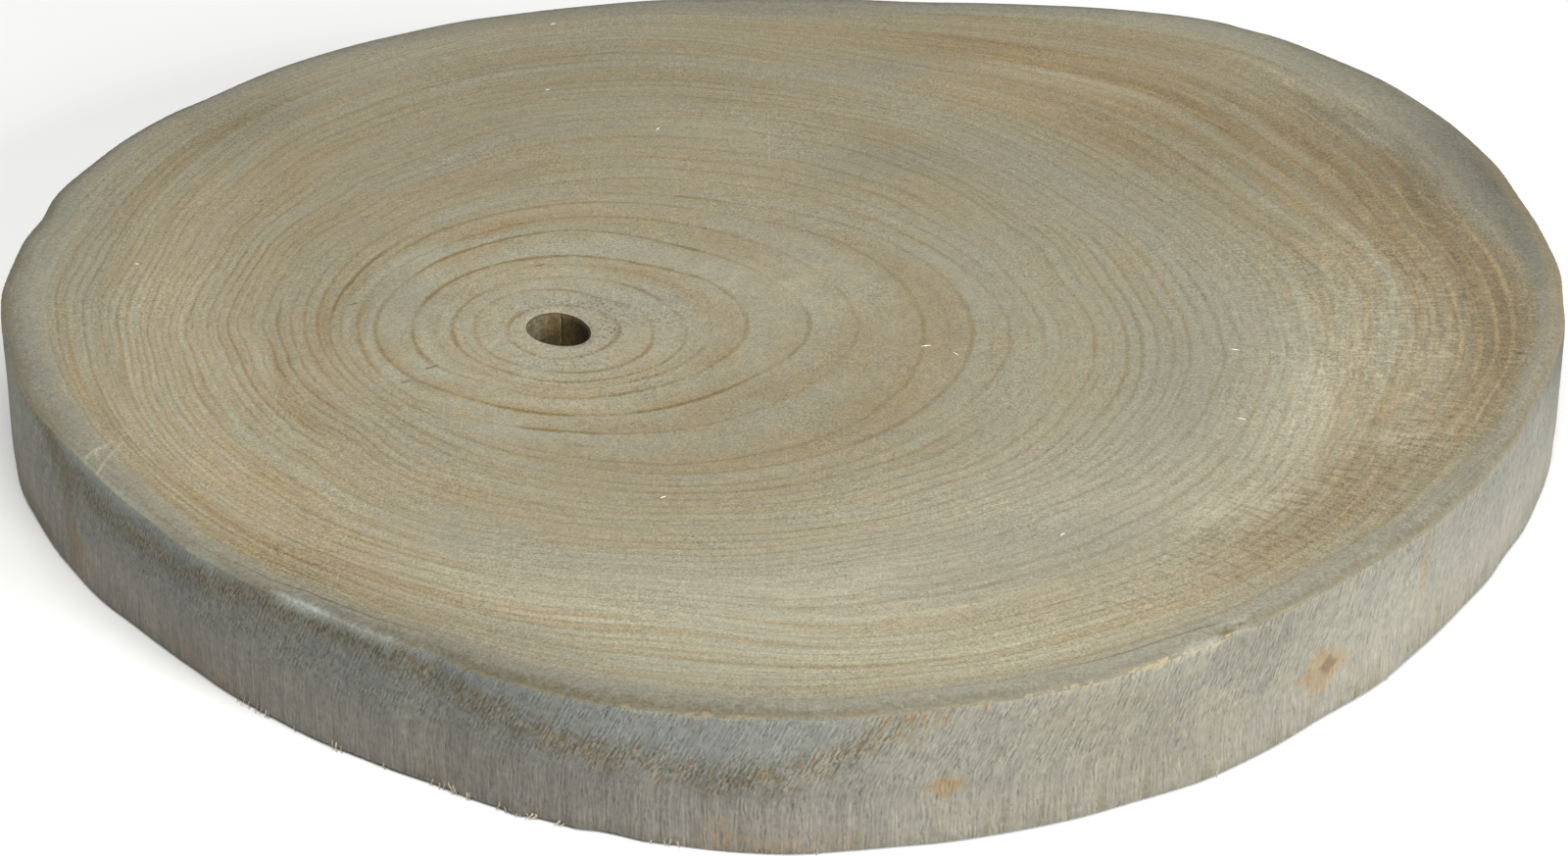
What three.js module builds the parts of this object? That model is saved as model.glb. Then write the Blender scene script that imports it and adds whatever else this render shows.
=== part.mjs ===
// A round slice sawn across a tree trunk, with the bark peeled off and the hollow pith left open.
// Millimetres, +Z up. The origin is under the middle of the slice, on the surface that it lies on.
// +X is the long way across. The pith is off centre, towards -X, where the rings are tightest.
import * as THREE from "three";
import { mergeVertices } from "three/addons/utils/BufferGeometryUtils.js";

// The thickness, and how many columns of facets the side and the pith channel have.
const THICKNESS = 36;
const RIM_COLUMNS = 216;
const PITH_COLUMNS = 36;

// The trunk's outline: the radius of the sawn edge at each bearing, counted anticlockwise from +X.
// The points stand closer where the outline turns a corner.
const RIM = [
  [0, 199],
  [15, 206],
  [30, 215],
  [42, 221],
  [52, 223],
  [60, 217.5],
  [68, 208.5],
  [78, 201],
  [90, 198.5],
  [105, 201.5],
  [120, 204.5],
  [135, 205.5],
  [150, 206],
  [165, 203],
  [180, 199],
  [195, 191.5],
  [210, 186],
  [225, 185.5],
  [240, 187],
  [255, 194],
  [270, 198.5],
  [285, 196.5],
  [300, 192],
  [315, 188.8],
  [330, 189.5],
  [345, 192.5],
];

// How far the foot of the wall stands outside the sawn edge above it, in millimetres.
// A trunk is never quite a prism: it leans out here and in there.
const FOOT = [
  [0, 0.8],
  [30, 0.5],
  [60, -1.5],
  [90, 1],
  [120, 2],
  [150, -1],
  [180, 0.5],
  [210, 1.2],
  [223, -1.4],
  [232, -0.4],
  [247, 0.3],
  [255, -1],
  [270, 0.3],
  [285, 0.5],
  [300, 1.6],
  [315, 0.9],
  [330, -1.5],
  [345, 0.8],
];

// The width of the worn bevel round the top edge.
const BEVEL = [
  [0, 4.5],
  [60, 6],
  [120, 4.5],
  [180, 5],
  [235, 6.5],
  [255, 4],
  [300, 5],
];
const BEVEL_DROP = 1.6;

// Old nicks in the rim: the bearing, the depth, and half the width in degrees.
const NICKS = [
  [143, 0.8, 2],
  [167, 1.5, 2],
  [246, 1.2, 2],
];

// The low swells of the peeled surface: how many go round the trunk, how they lean with height in
// radians per millimetre, where they start, and how high they stand.
const SWELLS = [
  { count: 11, lean: 0.02, start: 1.3, height: 0.35 },
  { count: 23, lean: -0.05, start: 0.4, height: 0.25 },
  { count: 41, lean: 0.09, start: 2.1, height: 0.15 },
];

// The pith channel: a slanting oval, turned so many degrees from +X, and worn wider at its two mouths.
const PITH = { x: -55.8, y: -21.4, halfLong: 9.2, halfShort: 7, turn: -58, flare: 0.5, waver: 0.02 };
const PITH_REACH = 20;

// The rows of the wall, from the foot up. Each has its height, the share of the foot's lean and
// of the bevel that it takes, and how far it is rounded in.
const ROWS = [
  { z: 0, foot: 1, bevel: 0, rounding: 0.6 },
  { z: 1.2, foot: 0.97, bevel: 0, rounding: 0 },
  { z: 7, foot: 0.82, bevel: 0, rounding: 0 },
  { z: 13, foot: 0.64, bevel: 0, rounding: 0 },
  { z: 19, foot: 0.45, bevel: 0, rounding: 0 },
  { z: 25, foot: 0.27, bevel: 0, rounding: 0 },
  { z: 30.5, foot: 0.1, bevel: 0, rounding: 0 },
  { z: THICKNESS - 1.5 * BEVEL_DROP, foot: 0.02, bevel: 0, rounding: 0 },
  { z: THICKNESS - BEVEL_DROP, foot: 0, bevel: 0.06, rounding: 0 },
  { z: THICKNESS - BEVEL_DROP / 3, foot: 0, bevel: 0.45, rounding: 0 },
  { z: THICKNESS, foot: 0, bevel: 1, rounding: 0 },
];

const TURN = 360;
const MERGE_DISTANCE = 1e-4;
const radians = THREE.MathUtils.degToRad;

// A smooth closed reading of [bearing, value] pairs, at any bearing from 0 to 360 degrees.
function aroundTheTrunk(pairs) {
  const before = pairs.map(([bearing, value]) => [bearing - TURN, value]);
  const after = pairs.map(([bearing, value]) => [bearing + TURN, value]);
  const all = [...before, ...pairs, ...after];
  return (bearing) => {
    const next = all.findIndex(([at]) => at > bearing);
    const [from, to] = [all[next - 1], all[next]];
    const share = THREE.MathUtils.smoothstep(bearing, from[0], to[0]);
    return THREE.MathUtils.lerp(from[1], to[1], share);
  };
}

const footAt = aroundTheTrunk(FOOT);
const bevelAt = aroundTheTrunk(BEVEL);

// How deep the nicks cut in at a bearing.
function nickAt(bearing) {
  let depth = 0;
  for (const [at, deepest, half] of NICKS) {
    depth += deepest * Math.exp(-(((bearing - at) / half) ** 2));
  }
  return depth;
}

// How far the peeled surface swells out at a bearing and a height.
function swellAt(bearing, z) {
  let out = 0;
  for (const { count, lean, start, height } of SWELLS) {
    out += height * Math.sin(radians(count * bearing) + lean * z + start);
  }
  return out;
}

// The sawn edge, evenly spaced along a closed curve through the points of RIM.
function rimPoints() {
  const corners = RIM.map(([bearing, radius]) => {
    const angle = radians(bearing);
    return new THREE.Vector3(radius * Math.cos(angle), radius * Math.sin(angle), 0);
  });
  const curve = new THREE.CatmullRomCurve3(corners, true, "centripetal");
  const points = curve.getSpacedPoints(RIM_COLUMNS).slice(0, RIM_COLUMNS);
  return points.map((point) => new THREE.Vector2(point.x, point.y));
}

// The pith channel's section, an oval that wavers a little, run clockwise as a hole is.
function pithPoints() {
  const middle = new THREE.Vector2(PITH.x, PITH.y);
  const points = [];
  for (let column = 0; column < PITH_COLUMNS; column += 1) {
    const angle = radians((-column * TURN) / PITH_COLUMNS);
    const grown = 1 + PITH.waver * Math.sin(3 * angle + 0.5);
    const along = PITH.halfLong * grown * Math.cos(angle);
    const across = PITH.halfShort * grown * Math.sin(angle);
    const point = new THREE.Vector2(PITH.x + along, PITH.y + across);
    points.push(point.rotateAround(middle, radians(PITH.turn)));
  }
  return points;
}

// Where a point of the sawn edge stands in one of the wall's rows.
function onTheWall(point, row) {
  const bearing = (THREE.MathUtils.radToDeg(Math.atan2(point.y, point.x)) + TURN) % TURN;
  const out = row.foot * footAt(bearing) + swellAt(bearing, row.z);
  const cut = row.bevel * bevelAt(bearing) + row.rounding + nickAt(bearing);
  const grown = 1 + (out - cut) / Math.hypot(point.x, point.y);
  return new THREE.Vector3(point.x * grown, point.y * grown, row.z);
}

// Where a point of the pith channel's section stands in one of the rows.
function inThePith(point, row) {
  const [fromX, fromY] = [point.x - PITH.x, point.y - PITH.y];
  const atMouth = row.z === 0 || row.z === THICKNESS;
  const grown = 1 + (atMouth ? PITH.flare : 0) / Math.hypot(fromX, fromY);
  return new THREE.Vector3(PITH.x + fromX * grown, PITH.y + fromY * grown, row.z);
}

// The slice: its outline and pith hole are extruded with one step for each row, which leaves the row's
// number in z, and then every point is moved to its place in that row.
function slice() {
  const outline = new THREE.Shape(rimPoints());
  outline.holes.push(new THREE.Path(pithPoints()));
  const steps = ROWS.length - 1;
  const extruded = new THREE.ExtrudeGeometry(outline, { depth: steps, steps, bevelEnabled: false });
  extruded.deleteAttribute("normal");
  extruded.deleteAttribute("uv");
  const position = extruded.getAttribute("position");
  for (let i = 0; i < position.count; i += 1) {
    const point = new THREE.Vector2(position.getX(i), position.getY(i));
    const row = ROWS[Math.round(position.getZ(i))];
    const fromPith = Math.hypot(point.x - PITH.x, point.y - PITH.y);
    const placed = fromPith < PITH_REACH ? inThePith(point, row) : onTheWall(point, row);
    position.setXYZ(i, placed.x, placed.y, placed.z);
  }
  return mergeVertices(extruded, MERGE_DISTANCE);
}

// The same solid with the middle of its box over the origin.
function centred(geometry) {
  geometry.computeBoundingBox();
  const middle = geometry.boundingBox.getCenter(new THREE.Vector3());
  geometry.translate(-middle.x, -middle.y, 0);
  geometry.computeVertexNormals();
  return geometry;
}

const weatheredWood = new THREE.MeshStandardMaterial({
  name: "weathered_wood",
  color: new THREE.Color(0.62, 0.57, 0.46),
  roughness: 0.8,
  metalness: 0,
});

const disc = new THREE.Mesh(centred(slice()), weatheredWood);
disc.name = "wood_disc";

const part = new THREE.Group();
part.add(disc);

export default part;
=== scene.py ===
# %% [markdown]
# # Dressing a slice of a tree trunk
#
# On the bench lies one slice, sawn straight across a peeled trunk and dried until it went grey.
# It grew as one piece, so it is one piece here too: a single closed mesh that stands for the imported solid.
# What makes it look real is the wood itself: the rings, the sawn face, the rippled sides and the hollow pith.
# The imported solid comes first, because every size below is read from it.

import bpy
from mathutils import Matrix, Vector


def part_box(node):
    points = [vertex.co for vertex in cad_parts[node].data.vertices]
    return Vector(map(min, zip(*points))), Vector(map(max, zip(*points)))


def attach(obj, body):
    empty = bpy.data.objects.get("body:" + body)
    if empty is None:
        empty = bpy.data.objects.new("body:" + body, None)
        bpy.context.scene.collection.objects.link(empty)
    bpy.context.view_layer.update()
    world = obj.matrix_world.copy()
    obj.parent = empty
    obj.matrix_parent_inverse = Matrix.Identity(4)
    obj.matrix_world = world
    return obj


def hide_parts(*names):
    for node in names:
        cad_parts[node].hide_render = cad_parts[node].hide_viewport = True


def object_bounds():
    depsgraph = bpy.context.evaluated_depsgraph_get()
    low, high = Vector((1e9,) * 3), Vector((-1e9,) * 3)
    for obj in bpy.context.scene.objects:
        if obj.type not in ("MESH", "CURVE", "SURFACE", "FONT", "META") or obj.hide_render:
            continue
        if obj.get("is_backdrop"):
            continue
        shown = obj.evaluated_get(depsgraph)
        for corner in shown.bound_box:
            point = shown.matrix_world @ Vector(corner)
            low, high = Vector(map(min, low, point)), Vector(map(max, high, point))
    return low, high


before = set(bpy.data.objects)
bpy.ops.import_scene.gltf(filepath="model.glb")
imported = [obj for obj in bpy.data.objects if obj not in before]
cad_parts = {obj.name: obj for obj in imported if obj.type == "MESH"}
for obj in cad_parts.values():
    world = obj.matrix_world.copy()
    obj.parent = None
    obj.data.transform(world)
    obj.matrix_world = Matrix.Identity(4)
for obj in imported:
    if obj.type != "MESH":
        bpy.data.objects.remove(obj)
cad_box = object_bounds()
print("the solid's box, in metres:", [[round(side, 4) for side in corner] for corner in cad_box])

# %% Tools and measures
import math

import bpy
import numpy as np
from mathutils import Vector, noise
from mathutils.bvhtree import BVHTree

MM = 0.001
NODE = "wood_disc"
low_corner, high_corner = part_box(NODE)
THICKNESS = (high_corner.z - low_corner.z) / MM
print(f"the solid is {(high_corner.x - low_corner.x) / MM:.1f} x "
      f"{(high_corner.y - low_corner.y) / MM:.1f} x {THICKNESS:.1f} mm")

# %% [markdown]
# ## Where the eye stands
#
# The slice is seen from the front and from above, through a long lens, so its far side is hardly smaller
# than its near side. A camera could be placed by trying, but here it was worked out from the outline:
# 28.5 degrees above the table, and a little under a metre away. It is made first, so that every test
# render already has the right frame.

# %% The camera
EYE = (-0.12, -893.25, 481.02)
LOOK_DOWN = 28.5
LENS = 90
SENSOR = 36


def place_camera():
    """The camera, looking along +Y and down."""
    data = bpy.data.cameras.new("eye")
    data.lens = LENS
    data.sensor_width = SENSOR
    data.clip_start = 0.05
    data.clip_end = 20
    camera = bpy.data.objects.new("eye", data)
    camera.location = [MM * part for part in EYE]
    camera.rotation_euler = (math.radians(90 - LOOK_DOWN), 0, 0)
    bpy.context.scene.collection.objects.link(camera)
    bpy.context.scene.camera = camera


place_camera()
print("the camera looks down by", LOOK_DOWN, "degrees through a lens of", LENS, "mm")

# %% [markdown]
# ## The table and the light
#
# The slice lies on a plain white table. The light is that of a small studio: a broad soft lamp overhead,
# a little towards the front, and a second soft lamp low on the right, which leaves the left of the side
# in shade and lets every ripple on it show. The view transform is the plain one, because dry grey wood
# has no glare that would need a film curve.

# %% Table, lamps and sky
SKY = (1.0, 0.99, 0.97)
SKY_STRENGTH = 0.26
TABLE = (0.88, 0.88, 0.87)
TABLE_HALF = 6.0
LAMPS = {
    "lamp_overhead": {"at": (0.0, -0.65, 1.55), "aim": (0, 0.0, 0), "size": (1.4, 1.1), "watts": 29},
    "lamp_right": {"at": (1.3, -1.1, 0.62), "aim": (0, -0.05, 0.02), "size": (0.7, 0.5), "watts": 30},
}


def hang_lamp(name, at, aim, size, watts):
    """A soft rectangular lamp that faces its aim."""
    data = bpy.data.lights.new(name, "AREA")
    data.shape = "RECTANGLE"
    data.size, data.size_y = size
    data.energy = watts
    lamp = bpy.data.objects.new(name, data)
    lamp.location = at
    lamp.rotation_euler = (Vector(aim) - Vector(at)).to_track_quat("-Z", "Y").to_euler()
    bpy.context.scene.collection.objects.link(lamp)


def lay_table():
    """The plain pale table that the slice lies on."""
    mesh = bpy.data.meshes.new("table")
    corners = [(x * TABLE_HALF, y * TABLE_HALF, 0) for x, y in ((-1, -1), (1, -1), (1, 1), (-1, 1))]
    mesh.from_pydata(corners, [], [(0, 1, 2, 3)])
    table = bpy.data.objects.new("table", mesh)
    paint = bpy.data.materials.new("table_white")
    paint.use_nodes = True
    coat = paint.node_tree.nodes["Principled BSDF"]
    coat.inputs["Base Color"].default_value = (*TABLE, 1)
    coat.inputs["Roughness"].default_value = 0.9
    mesh.materials.append(paint)
    bpy.context.scene.collection.objects.link(table)
    table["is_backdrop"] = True


world = bpy.data.worlds.new("sky")
world.use_nodes = True
world.node_tree.nodes["Background"].inputs["Color"].default_value = (*SKY, 1)
world.node_tree.nodes["Background"].inputs["Strength"].default_value = SKY_STRENGTH
bpy.context.scene.world = world
bpy.context.scene.view_settings.view_transform = "Standard"
lay_table()
for name, lamp in LAMPS.items():
    hang_lamp(name, **lamp)
print("lamps:", ", ".join(LAMPS))

# %% [markdown]
# ## Feeling the solid's surface
#
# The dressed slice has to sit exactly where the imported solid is. So the solid is felt with rays: from
# outside towards its middle for the trunk's surface, and from the pith outwards for the channel.
# The solid has flat facets, and sanding the readings a few times takes the edges between them away.

# %% Rays to the trunk and the pith
READINGS = 1440
PITH = (-56.0, -21.8)
OUTSIDE = 300
BASE_CLEAR = 0.05
TRUNK_PASSES, PITH_PASSES = 24, 40

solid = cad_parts[NODE].data
feeler = BVHTree.FromPolygons([v.co for v in solid.vertices], [p.vertices for p in solid.polygons])
reading_bearings = np.arange(READINGS) * math.tau / READINGS


def sanded(ring, passes):
    """A closed row of readings with its edges worn away."""
    for _ in range(passes):
        ring = (np.roll(ring, 1) + 2 * ring + np.roll(ring, -1)) / 4
    return ring


def feel_trunk(height):
    """The trunk's radius at each reading, from the origin, at one height."""
    height = min(max(height, BASE_CLEAR), THICKNESS - BASE_CLEAR)
    radii = []
    for bearing in reading_bearings:
        way = Vector((math.cos(bearing), math.sin(bearing), 0))
        start = way * OUTSIDE * MM
        start.z = height * MM
        hit = feeler.ray_cast(start, -way)[0]
        radii.append(math.hypot(hit.x, hit.y) / MM)
    return sanded(np.array(radii), TRUNK_PASSES)


def feel_pith(height):
    """The channel's radius at each reading, from the pith, at one height."""
    height = min(max(height, BASE_CLEAR), THICKNESS - BASE_CLEAR)
    start = Vector((PITH[0] * MM, PITH[1] * MM, height * MM))
    radii = []
    for bearing in reading_bearings:
        hit = feeler.ray_cast(start, Vector((math.cos(bearing), math.sin(bearing), 0)))[0]
        radii.append((hit - start).length / MM)
    return sanded(np.array(radii), PITH_PASSES)


def read_round(ring, bearings):
    """The value of a closed row of readings at any bearings, in radians."""
    return np.interp(bearings % math.tau, np.append(reading_bearings, math.tau), np.append(ring, ring[0]))


sawn_edge = feel_trunk(THICKNESS - 2)
print(f"the sawn edge stands {sawn_edge.min():.1f} to {sawn_edge.max():.1f} mm from the middle")

# %% [markdown]
# ## Reading round the clock
#
# Many things here change round the slice: how wide a ring is, how broad the grey band is, how deep a
# stain runs. Each is written as a few readings by bearing, counted anticlockwise from +X, and joined by a
# smooth closed curve. It needs few numbers, and a wrong one is easy to find and put right.

# %% Smooth closed curves through a few readings
def round_the_clock(readings, bearings):
    """A smooth closed curve through evenly spaced readings, at any bearings in radians."""
    readings = np.asarray(readings, float)
    count = len(readings)
    at = (np.asarray(bearings) % math.tau) * count / math.tau
    first = np.floor(at).astype(int)
    share = at - first
    before, start, end, after = [readings[(first + step) % count] for step in (-1, 0, 1, 2)]
    bend = 2 * before - 5 * start + 4 * end - after
    twist = 3 * (start - end) + after - before
    return start + 0.5 * share * (end - before + share * (bend + share * twist))


def by_bearing(pairs, bearings):
    """Straight lines between [degrees, value] pairs, closed round the slice, at bearings in radians."""
    degrees = [pair[0] for pair in pairs]
    values = [pair[1] for pair in pairs]
    return np.interp(np.degrees(bearings) % 360, degrees, values, period=360)


def fade(value, start, end):
    """0 before start and 1 after end, with a soft step between them."""
    share = np.clip((value - start) / (end - start), 0, 1)
    return share * share * (3 - 2 * share)


def degrees_from(bearing, bearings):
    """How many degrees, -180 to 180, bearings in radians are past one bearing in degrees."""
    return np.degrees((bearings - math.radians(bearing) + math.pi) % math.tau - math.pi)


def hump(away, half, power=2):
    """1 at no distance away, and falling off smoothly past half."""
    return np.exp(-((away / half) ** power))


def window(bearings, start, end, soft=6):
    """1 between two bearings in degrees and 0 outside, with soft ends."""
    half = (end - start) / 2
    away = np.abs(degrees_from((start + end) / 2, bearings))
    return 1 - fade(away, half - soft / 2, half + soft / 2)


print("halfway between readings of 10 and 20 the curve gives", round_the_clock([10, 20] * 2, math.pi / 4))

# %% [markdown]
# ## The growth rings
#
# A trunk adds one ring a year. Here the pith is off centre, so the rings are narrow on the left and wide
# on the right. They could be drawn as circles, but they aren't round, and the eye sees it at once.
# So a dozen rings were read round the clock, as distances from the pith at every 30 degrees. All others
# are shared out between them. The result is one number anywhere on the face: the age of the wood there.

# %% The age of the wood
RING_READINGS = {
    0: (15, 14, 13.4, 13.5, 13.5, 13.2, 13.1, 13.5, 14.5, 15.9, 15.6, 15),
    1: (23, 22, 19.5, 22, 24, 23, 21.3, 21.2, 21.3, 23, 25, 25),
    2: (31.7, 29.6, 29.6, 29.5, 29.5, 28.5, 27, 26.2, 25.8, 28, 30, 32),
    3: (37.5, 37, 36.5, 37, 36.8, 33, 30.7, 30.2, 29, 32, 33, 36),
    4: (46.3, 45.8, 41.5, 41.5, 40.5, 38.5, 36.7, 35.5, 32.8, 36.3, 38.3, 42),
    5: (62.5, 59.5, 55.7, 57.5, 53, 48.7, 46.5, 44, 41.7, 44.7, 49, 54),
    6: (74, 71.5, 68, 65, 58.5, 54.5, 50.5, 49, 50.5, 52.5, 60, 67.5),
    7: (91, 88, 78.5, 74.5, 67, 59, 55, 52.3, 53.7, 64, 79, 89),
    8: (103, 98, 85, 79, 70, 61.5, 57.5, 55, 57, 67, 84, 97),
    9: (113, 104, 97, 88, 77.5, 67, 60.5, 57.5, 61, 73, 91, 105),
    15: (137.5, 134.5, 136, 129, 102, 87.7, 80, 76.7, 82.4, 96, 112.7, 133),
    21: (159, 155, 155, 152, 128, 104.6, 95, 93, 100, 113.7, 130, 153.5),
    28: (189, 180, 181, 186, 153, 122, 108, 107, 114.5, 129, 162.6, 183),
}
RIM_AGE = 42
MOUTH_AGE = -0.6


def key_radii(bearings, mouth, rim):
    """The radii of the read rings at some bearings, with the pith's mouth first and the rim last."""
    rows = [round_the_clock(readings, bearings) for readings in RING_READINGS.values()]
    return np.array([mouth, *rows, rim])


KEY_AGES = np.array([MOUTH_AGE, *RING_READINGS, RIM_AGE])


def age_at(radii, keys):
    """The age of the wood and the width of a year's ring, at radii along known key rings."""
    ages = np.empty_like(radii)
    widths = np.empty_like(radii)
    for spot, radius in enumerate(radii):
        ages[spot] = np.interp(radius, keys[:, spot], KEY_AGES)
        around = np.clip([ages[spot] - 0.6, ages[spot] + 0.6], MOUTH_AGE, RIM_AGE)
        inner, outer = np.interp(around, KEY_AGES, keys[:, spot])
        widths[spot] = (outer - inner) / (around[1] - around[0])
    return ages, widths


print(len(RING_READINGS), "rings read, the rim is", RIM_AGE, "years old")

# %% [markdown]
# ## Rows of the mesh
#
# The surface could be sculpted, but a slice is a simple thing: rows of points that run round it, out
# from the pith over the face, over the worn edge, down the side, in under the slice and up through the
# channel again. Near the pith a row needs few points, and on the rippled side it needs many, so the count
# doubles in steps on the way out. The side's columns lean the way the wood's ripples do, because a ripple
# only stays crisp when it runs along a column of points.

# %% Columns, rows and lean
COLUMNS = 2880
BEVEL = [[0, 4.5], [60, 6], [120, 4.5], [180, 5], [235, 6.5], [255, 4], [300, 5]]
BEVEL_DROP = 1.6
BEVEL_SHARES = (0.85, 0.65, 0.45, 0.25, 0.08)
BEVEL_ROUND = 1.85
WALL_ROWS = 15
WALL_TOP = 2.0
WALL_FOOT = 34.9
LEAN = 0.5
LEAN_ENDS = (15, 26)
LEAN_REACH = 200

column_bearings = np.arange(COLUMNS) * math.tau / COLUMNS
wall_depths = np.linspace(WALL_TOP, WALL_FOOT, WALL_ROWS)


def lean_at(depth):
    """How far a column has leaned back at a depth below the face, in millimetres."""
    steps = np.linspace(0, depth, 60)
    return depth * np.mean(LEAN * (1 - fade(steps, *LEAN_ENDS)))


print(COLUMNS, "columns that lean", round(float(lean_at(WALL_FOOT)), 1), "mm on the way down")

# %% [markdown]
# ## The side's relief
#
# Under the bark the trunk's surface has low waves and fine ripples. They lean at the top and turn into
# fine upright lines near the table. Small knots stand a little proud, the upper lip is chipped, and the
# lower edge is bumpy, and torn where the saw came out. A shading trick could fake it, but it would vanish
# at the outline. So all of it is real relief, a few hundredths of a millimetre to a millimetre high, added
# to the radius that was felt.

# %% Ripples, knots, chips and torn edge
RIPPLE_SIZE = (1.25, 4.5)
RIPPLE_HEIGHT = 0.03
LINE_SIZE = (0.95, 26.0)
LINE_HEIGHT = 0.035
WAVE_SIZE = (14.0, 24.0)
WAVE_HEIGHT = 0.22
# A knot has its bearing, its depth, half its width, and how far it stands proud.
KNOTS = [
    (-49.5, 20.5, 7.0, 0.35), (-79.0, 21.5, 3.0, 0.15),
]
# A bump at the foot has its bearing, half its width in degrees, and how far it stands proud.
FOOT_BUMPS = [
    (-107.6, 0.8, 0.8), (-103.3, 1.0, 0.9), (-98.9, 1.2, 0.5),
]
BUMP_DEPTHS = (27, 35)
# A chip out of the lip has its bearing, half its width in degrees, and how deep it is.
CHIPS = [
    (-58.3, 1.1, 1.1), (-113.6, 1.2, 0.6), (-127.0, 2.6, 0.5), (-133.0, 1.6, 0.4), (-171.5, 1.5, 0.8),
    (52.0, 1.4, 0.6),
]
TORN = [
    [-180, 0.2], [-133, 0.3], [-131, 1.3], [-128, 0.9], [-122, 0.5], [-114, 0.9], [-107, 0.7], [-97, 0.8],
    [-90, 0.3], [-40, 0.25], [0, 0.3], [60, 0.7], [120, 0.4],
]


def grain_noise(bearings, depth, size, shift=0.0):
    """Smooth noise on the trunk's surface, stretched along the grain: size is across and along, in mm."""
    across, along = size
    values = []
    for bearing in bearings:
        x = LEAN_REACH * math.cos(bearing) / across
        y = LEAN_REACH * math.sin(bearing) / across
        values.append(noise.noise(Vector((x + shift, y, depth / along + shift))))
    return np.array(values)


def relief_at(depth):
    """The relief of every column at one depth, and the ripple part of it on its own."""
    ripples = grain_noise(column_bearings, depth, RIPPLE_SIZE)
    lines = grain_noise(column_bearings, depth, LINE_SIZE, 31.7)
    waves = grain_noise(column_bearings, depth, WAVE_SIZE, 7.3)
    low = fade(depth, 17, 25)
    fine = (1 - 0.7 * low) * ripples + 0.35 * lines
    out = RIPPLE_HEIGHT * (1 - 0.75 * low) * ripples + WAVE_HEIGHT * waves
    out = out + LINE_HEIGHT * (0.4 + low) * lines
    bearings = column_bearings - lean_at(depth) / LEAN_REACH
    for bearing, middle, half, proud in KNOTS:
        across = LEAN_REACH * np.radians(degrees_from(bearing, bearings))
        away = (across ** 2 + (depth - middle) ** 2) / half ** 2
        out = out + proud * np.exp(-2 * away)
    for bearing, half, proud in FOOT_BUMPS:
        out = out + proud * fade(depth, *BUMP_DEPTHS) * hump(degrees_from(bearing, bearings), half)
    return out, fine


def chipped(bearings):
    """How far the chips cut into the upper lip."""
    cut = np.zeros_like(bearings)
    for bearing, half, deep in CHIPS:
        cut += deep * hump(degrees_from(bearing, bearings), half, 4)
    return cut


def rim_noise(size, shift):
    """Noise round the rim alone, with lumps of a size in millimetres."""
    return grain_noise(column_bearings, 0, (size, 1.0), shift)


crumbs = rim_noise(1.6, 3.1) + 0.5 * rim_noise(0.7, 9.9)
ragged = np.abs(rim_noise(2.2, 17.0) + rim_noise(0.8, 4.4))
print(f"ripples {RIPPLE_HEIGHT} mm, waves {WAVE_HEIGHT} mm,", len(KNOTS), "knots,", len(CHIPS), "chips and",
      len(FOOT_BUMPS), "bumps")

# %% [markdown]
# ## Stains on the face, and how they are kept
#
# Dry wood isn't one colour. Some years are tan, others pale, a blue-grey bloom creeps in from the rim,
# and the right of the face is brown. A painter would dab these on. Here each dab is a soft oval with a
# place, a size and a strength, and bands that follow the rings are given by age and bearing. They are
# stored on the mesh as plain numbers, and the finishes below turn the numbers into colour. The rim has
# readings of its own: how broad its bloom is, where a groove runs along it, and where its lip is tan,
# crusted, or chipped down to bare wood.

# %% Dabs and bands
DABS = {
    "brown": [
        (-113, -143, 40, 9, -28, 0.35), (-119, -60, 14, 7, -50, 0.25), (132, -102, 34, 8, 52, 0.35),
    ],
    "speck": [
        (-43.5, -21, 6, 9, 0, 1.0), (-51, -8, 11, 5, 0, 0.8), (-31, -17, 4, 6, 0, 0.7),
        (-66, -14, 5, 8, 0, 0.4), (-60, -42, 14, 5, 0, 0.5), (9, 40, 12, 22, 0, 0.3),
        (-98, 0, 8, 12, 0, 0.3),
    ],
    "grey": [
        (28, 142, 16, 8, 0, 0.45), (43, 78, 26, 12, -10, 0.3), (168, 95, 18, 10, -45, 0.7),
        (184, 66, 9, 26, 15, 0.7), (-94, -8, 14, 12, 0, 0.35), (60, -124, 30, 8, 8, 0.3),
        (0, 188, 60, 8, 0, 0.5), (-40, -5, 22, 8, 0, 0.35), (95, -50, 14, 40, -10, 0.25),
    ],
    "pale": [
        (160, 121, 34, 9, -42, 0.5), (126, -60, 8, 32, -12, 0.6), (145, -78, 6, 5, 0, 0.6),
        (103, -112, 18, 6, 30, 0.6), (-5, 3, 26, 26, 0, 0.3), (0, -148, 70, 12, 0, 0.5),
        (-58, -24, 26, 20, 0, 0.35), (150, -30, 14, 26, 0, 0.35), (-90, -95, 40, 12, -30, 0.2),
        (60, -110, 60, 22, 20, 0.35), (-150, -10, 22, 60, 0, 0.3),
    ],
    "hatch": [
        (118, -112, 34, 16, 40, 1.0), (150, -75, 16, 30, -20, 0.6), (88, -145, 26, 10, 30, 0.6),
        (165, -10, 20, 40, 0, 0.35), (120, 95, 50, 20, -35, 0.2),
    ],
}
# A band of years has its age, half its width, where it starts and ends, and its strength.
TAN_BANDS = [
    (3.1, 0.45, 15, 65, 0.8), (3.2, 0.4, 60, 130, 0.5), (2.6, 0.35, 200, 330, 0.25),
    (3.6, 0.4, 330, 380, 0.45), (5.4, 0.35, 30, 100, 0.35), (6.3, 0.5, 60, 130, 0.4),
    (7.2, 0.5, 280, 420, 0.35), (7.6, 0.5, 240, 290, 0.35), (9.5, 1.2, 240, 300, 0.1),
    (8.4, 0.5, 130, 190, 0.2), (5.0, 0.5, 225, 280, 0.35),
]
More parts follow.
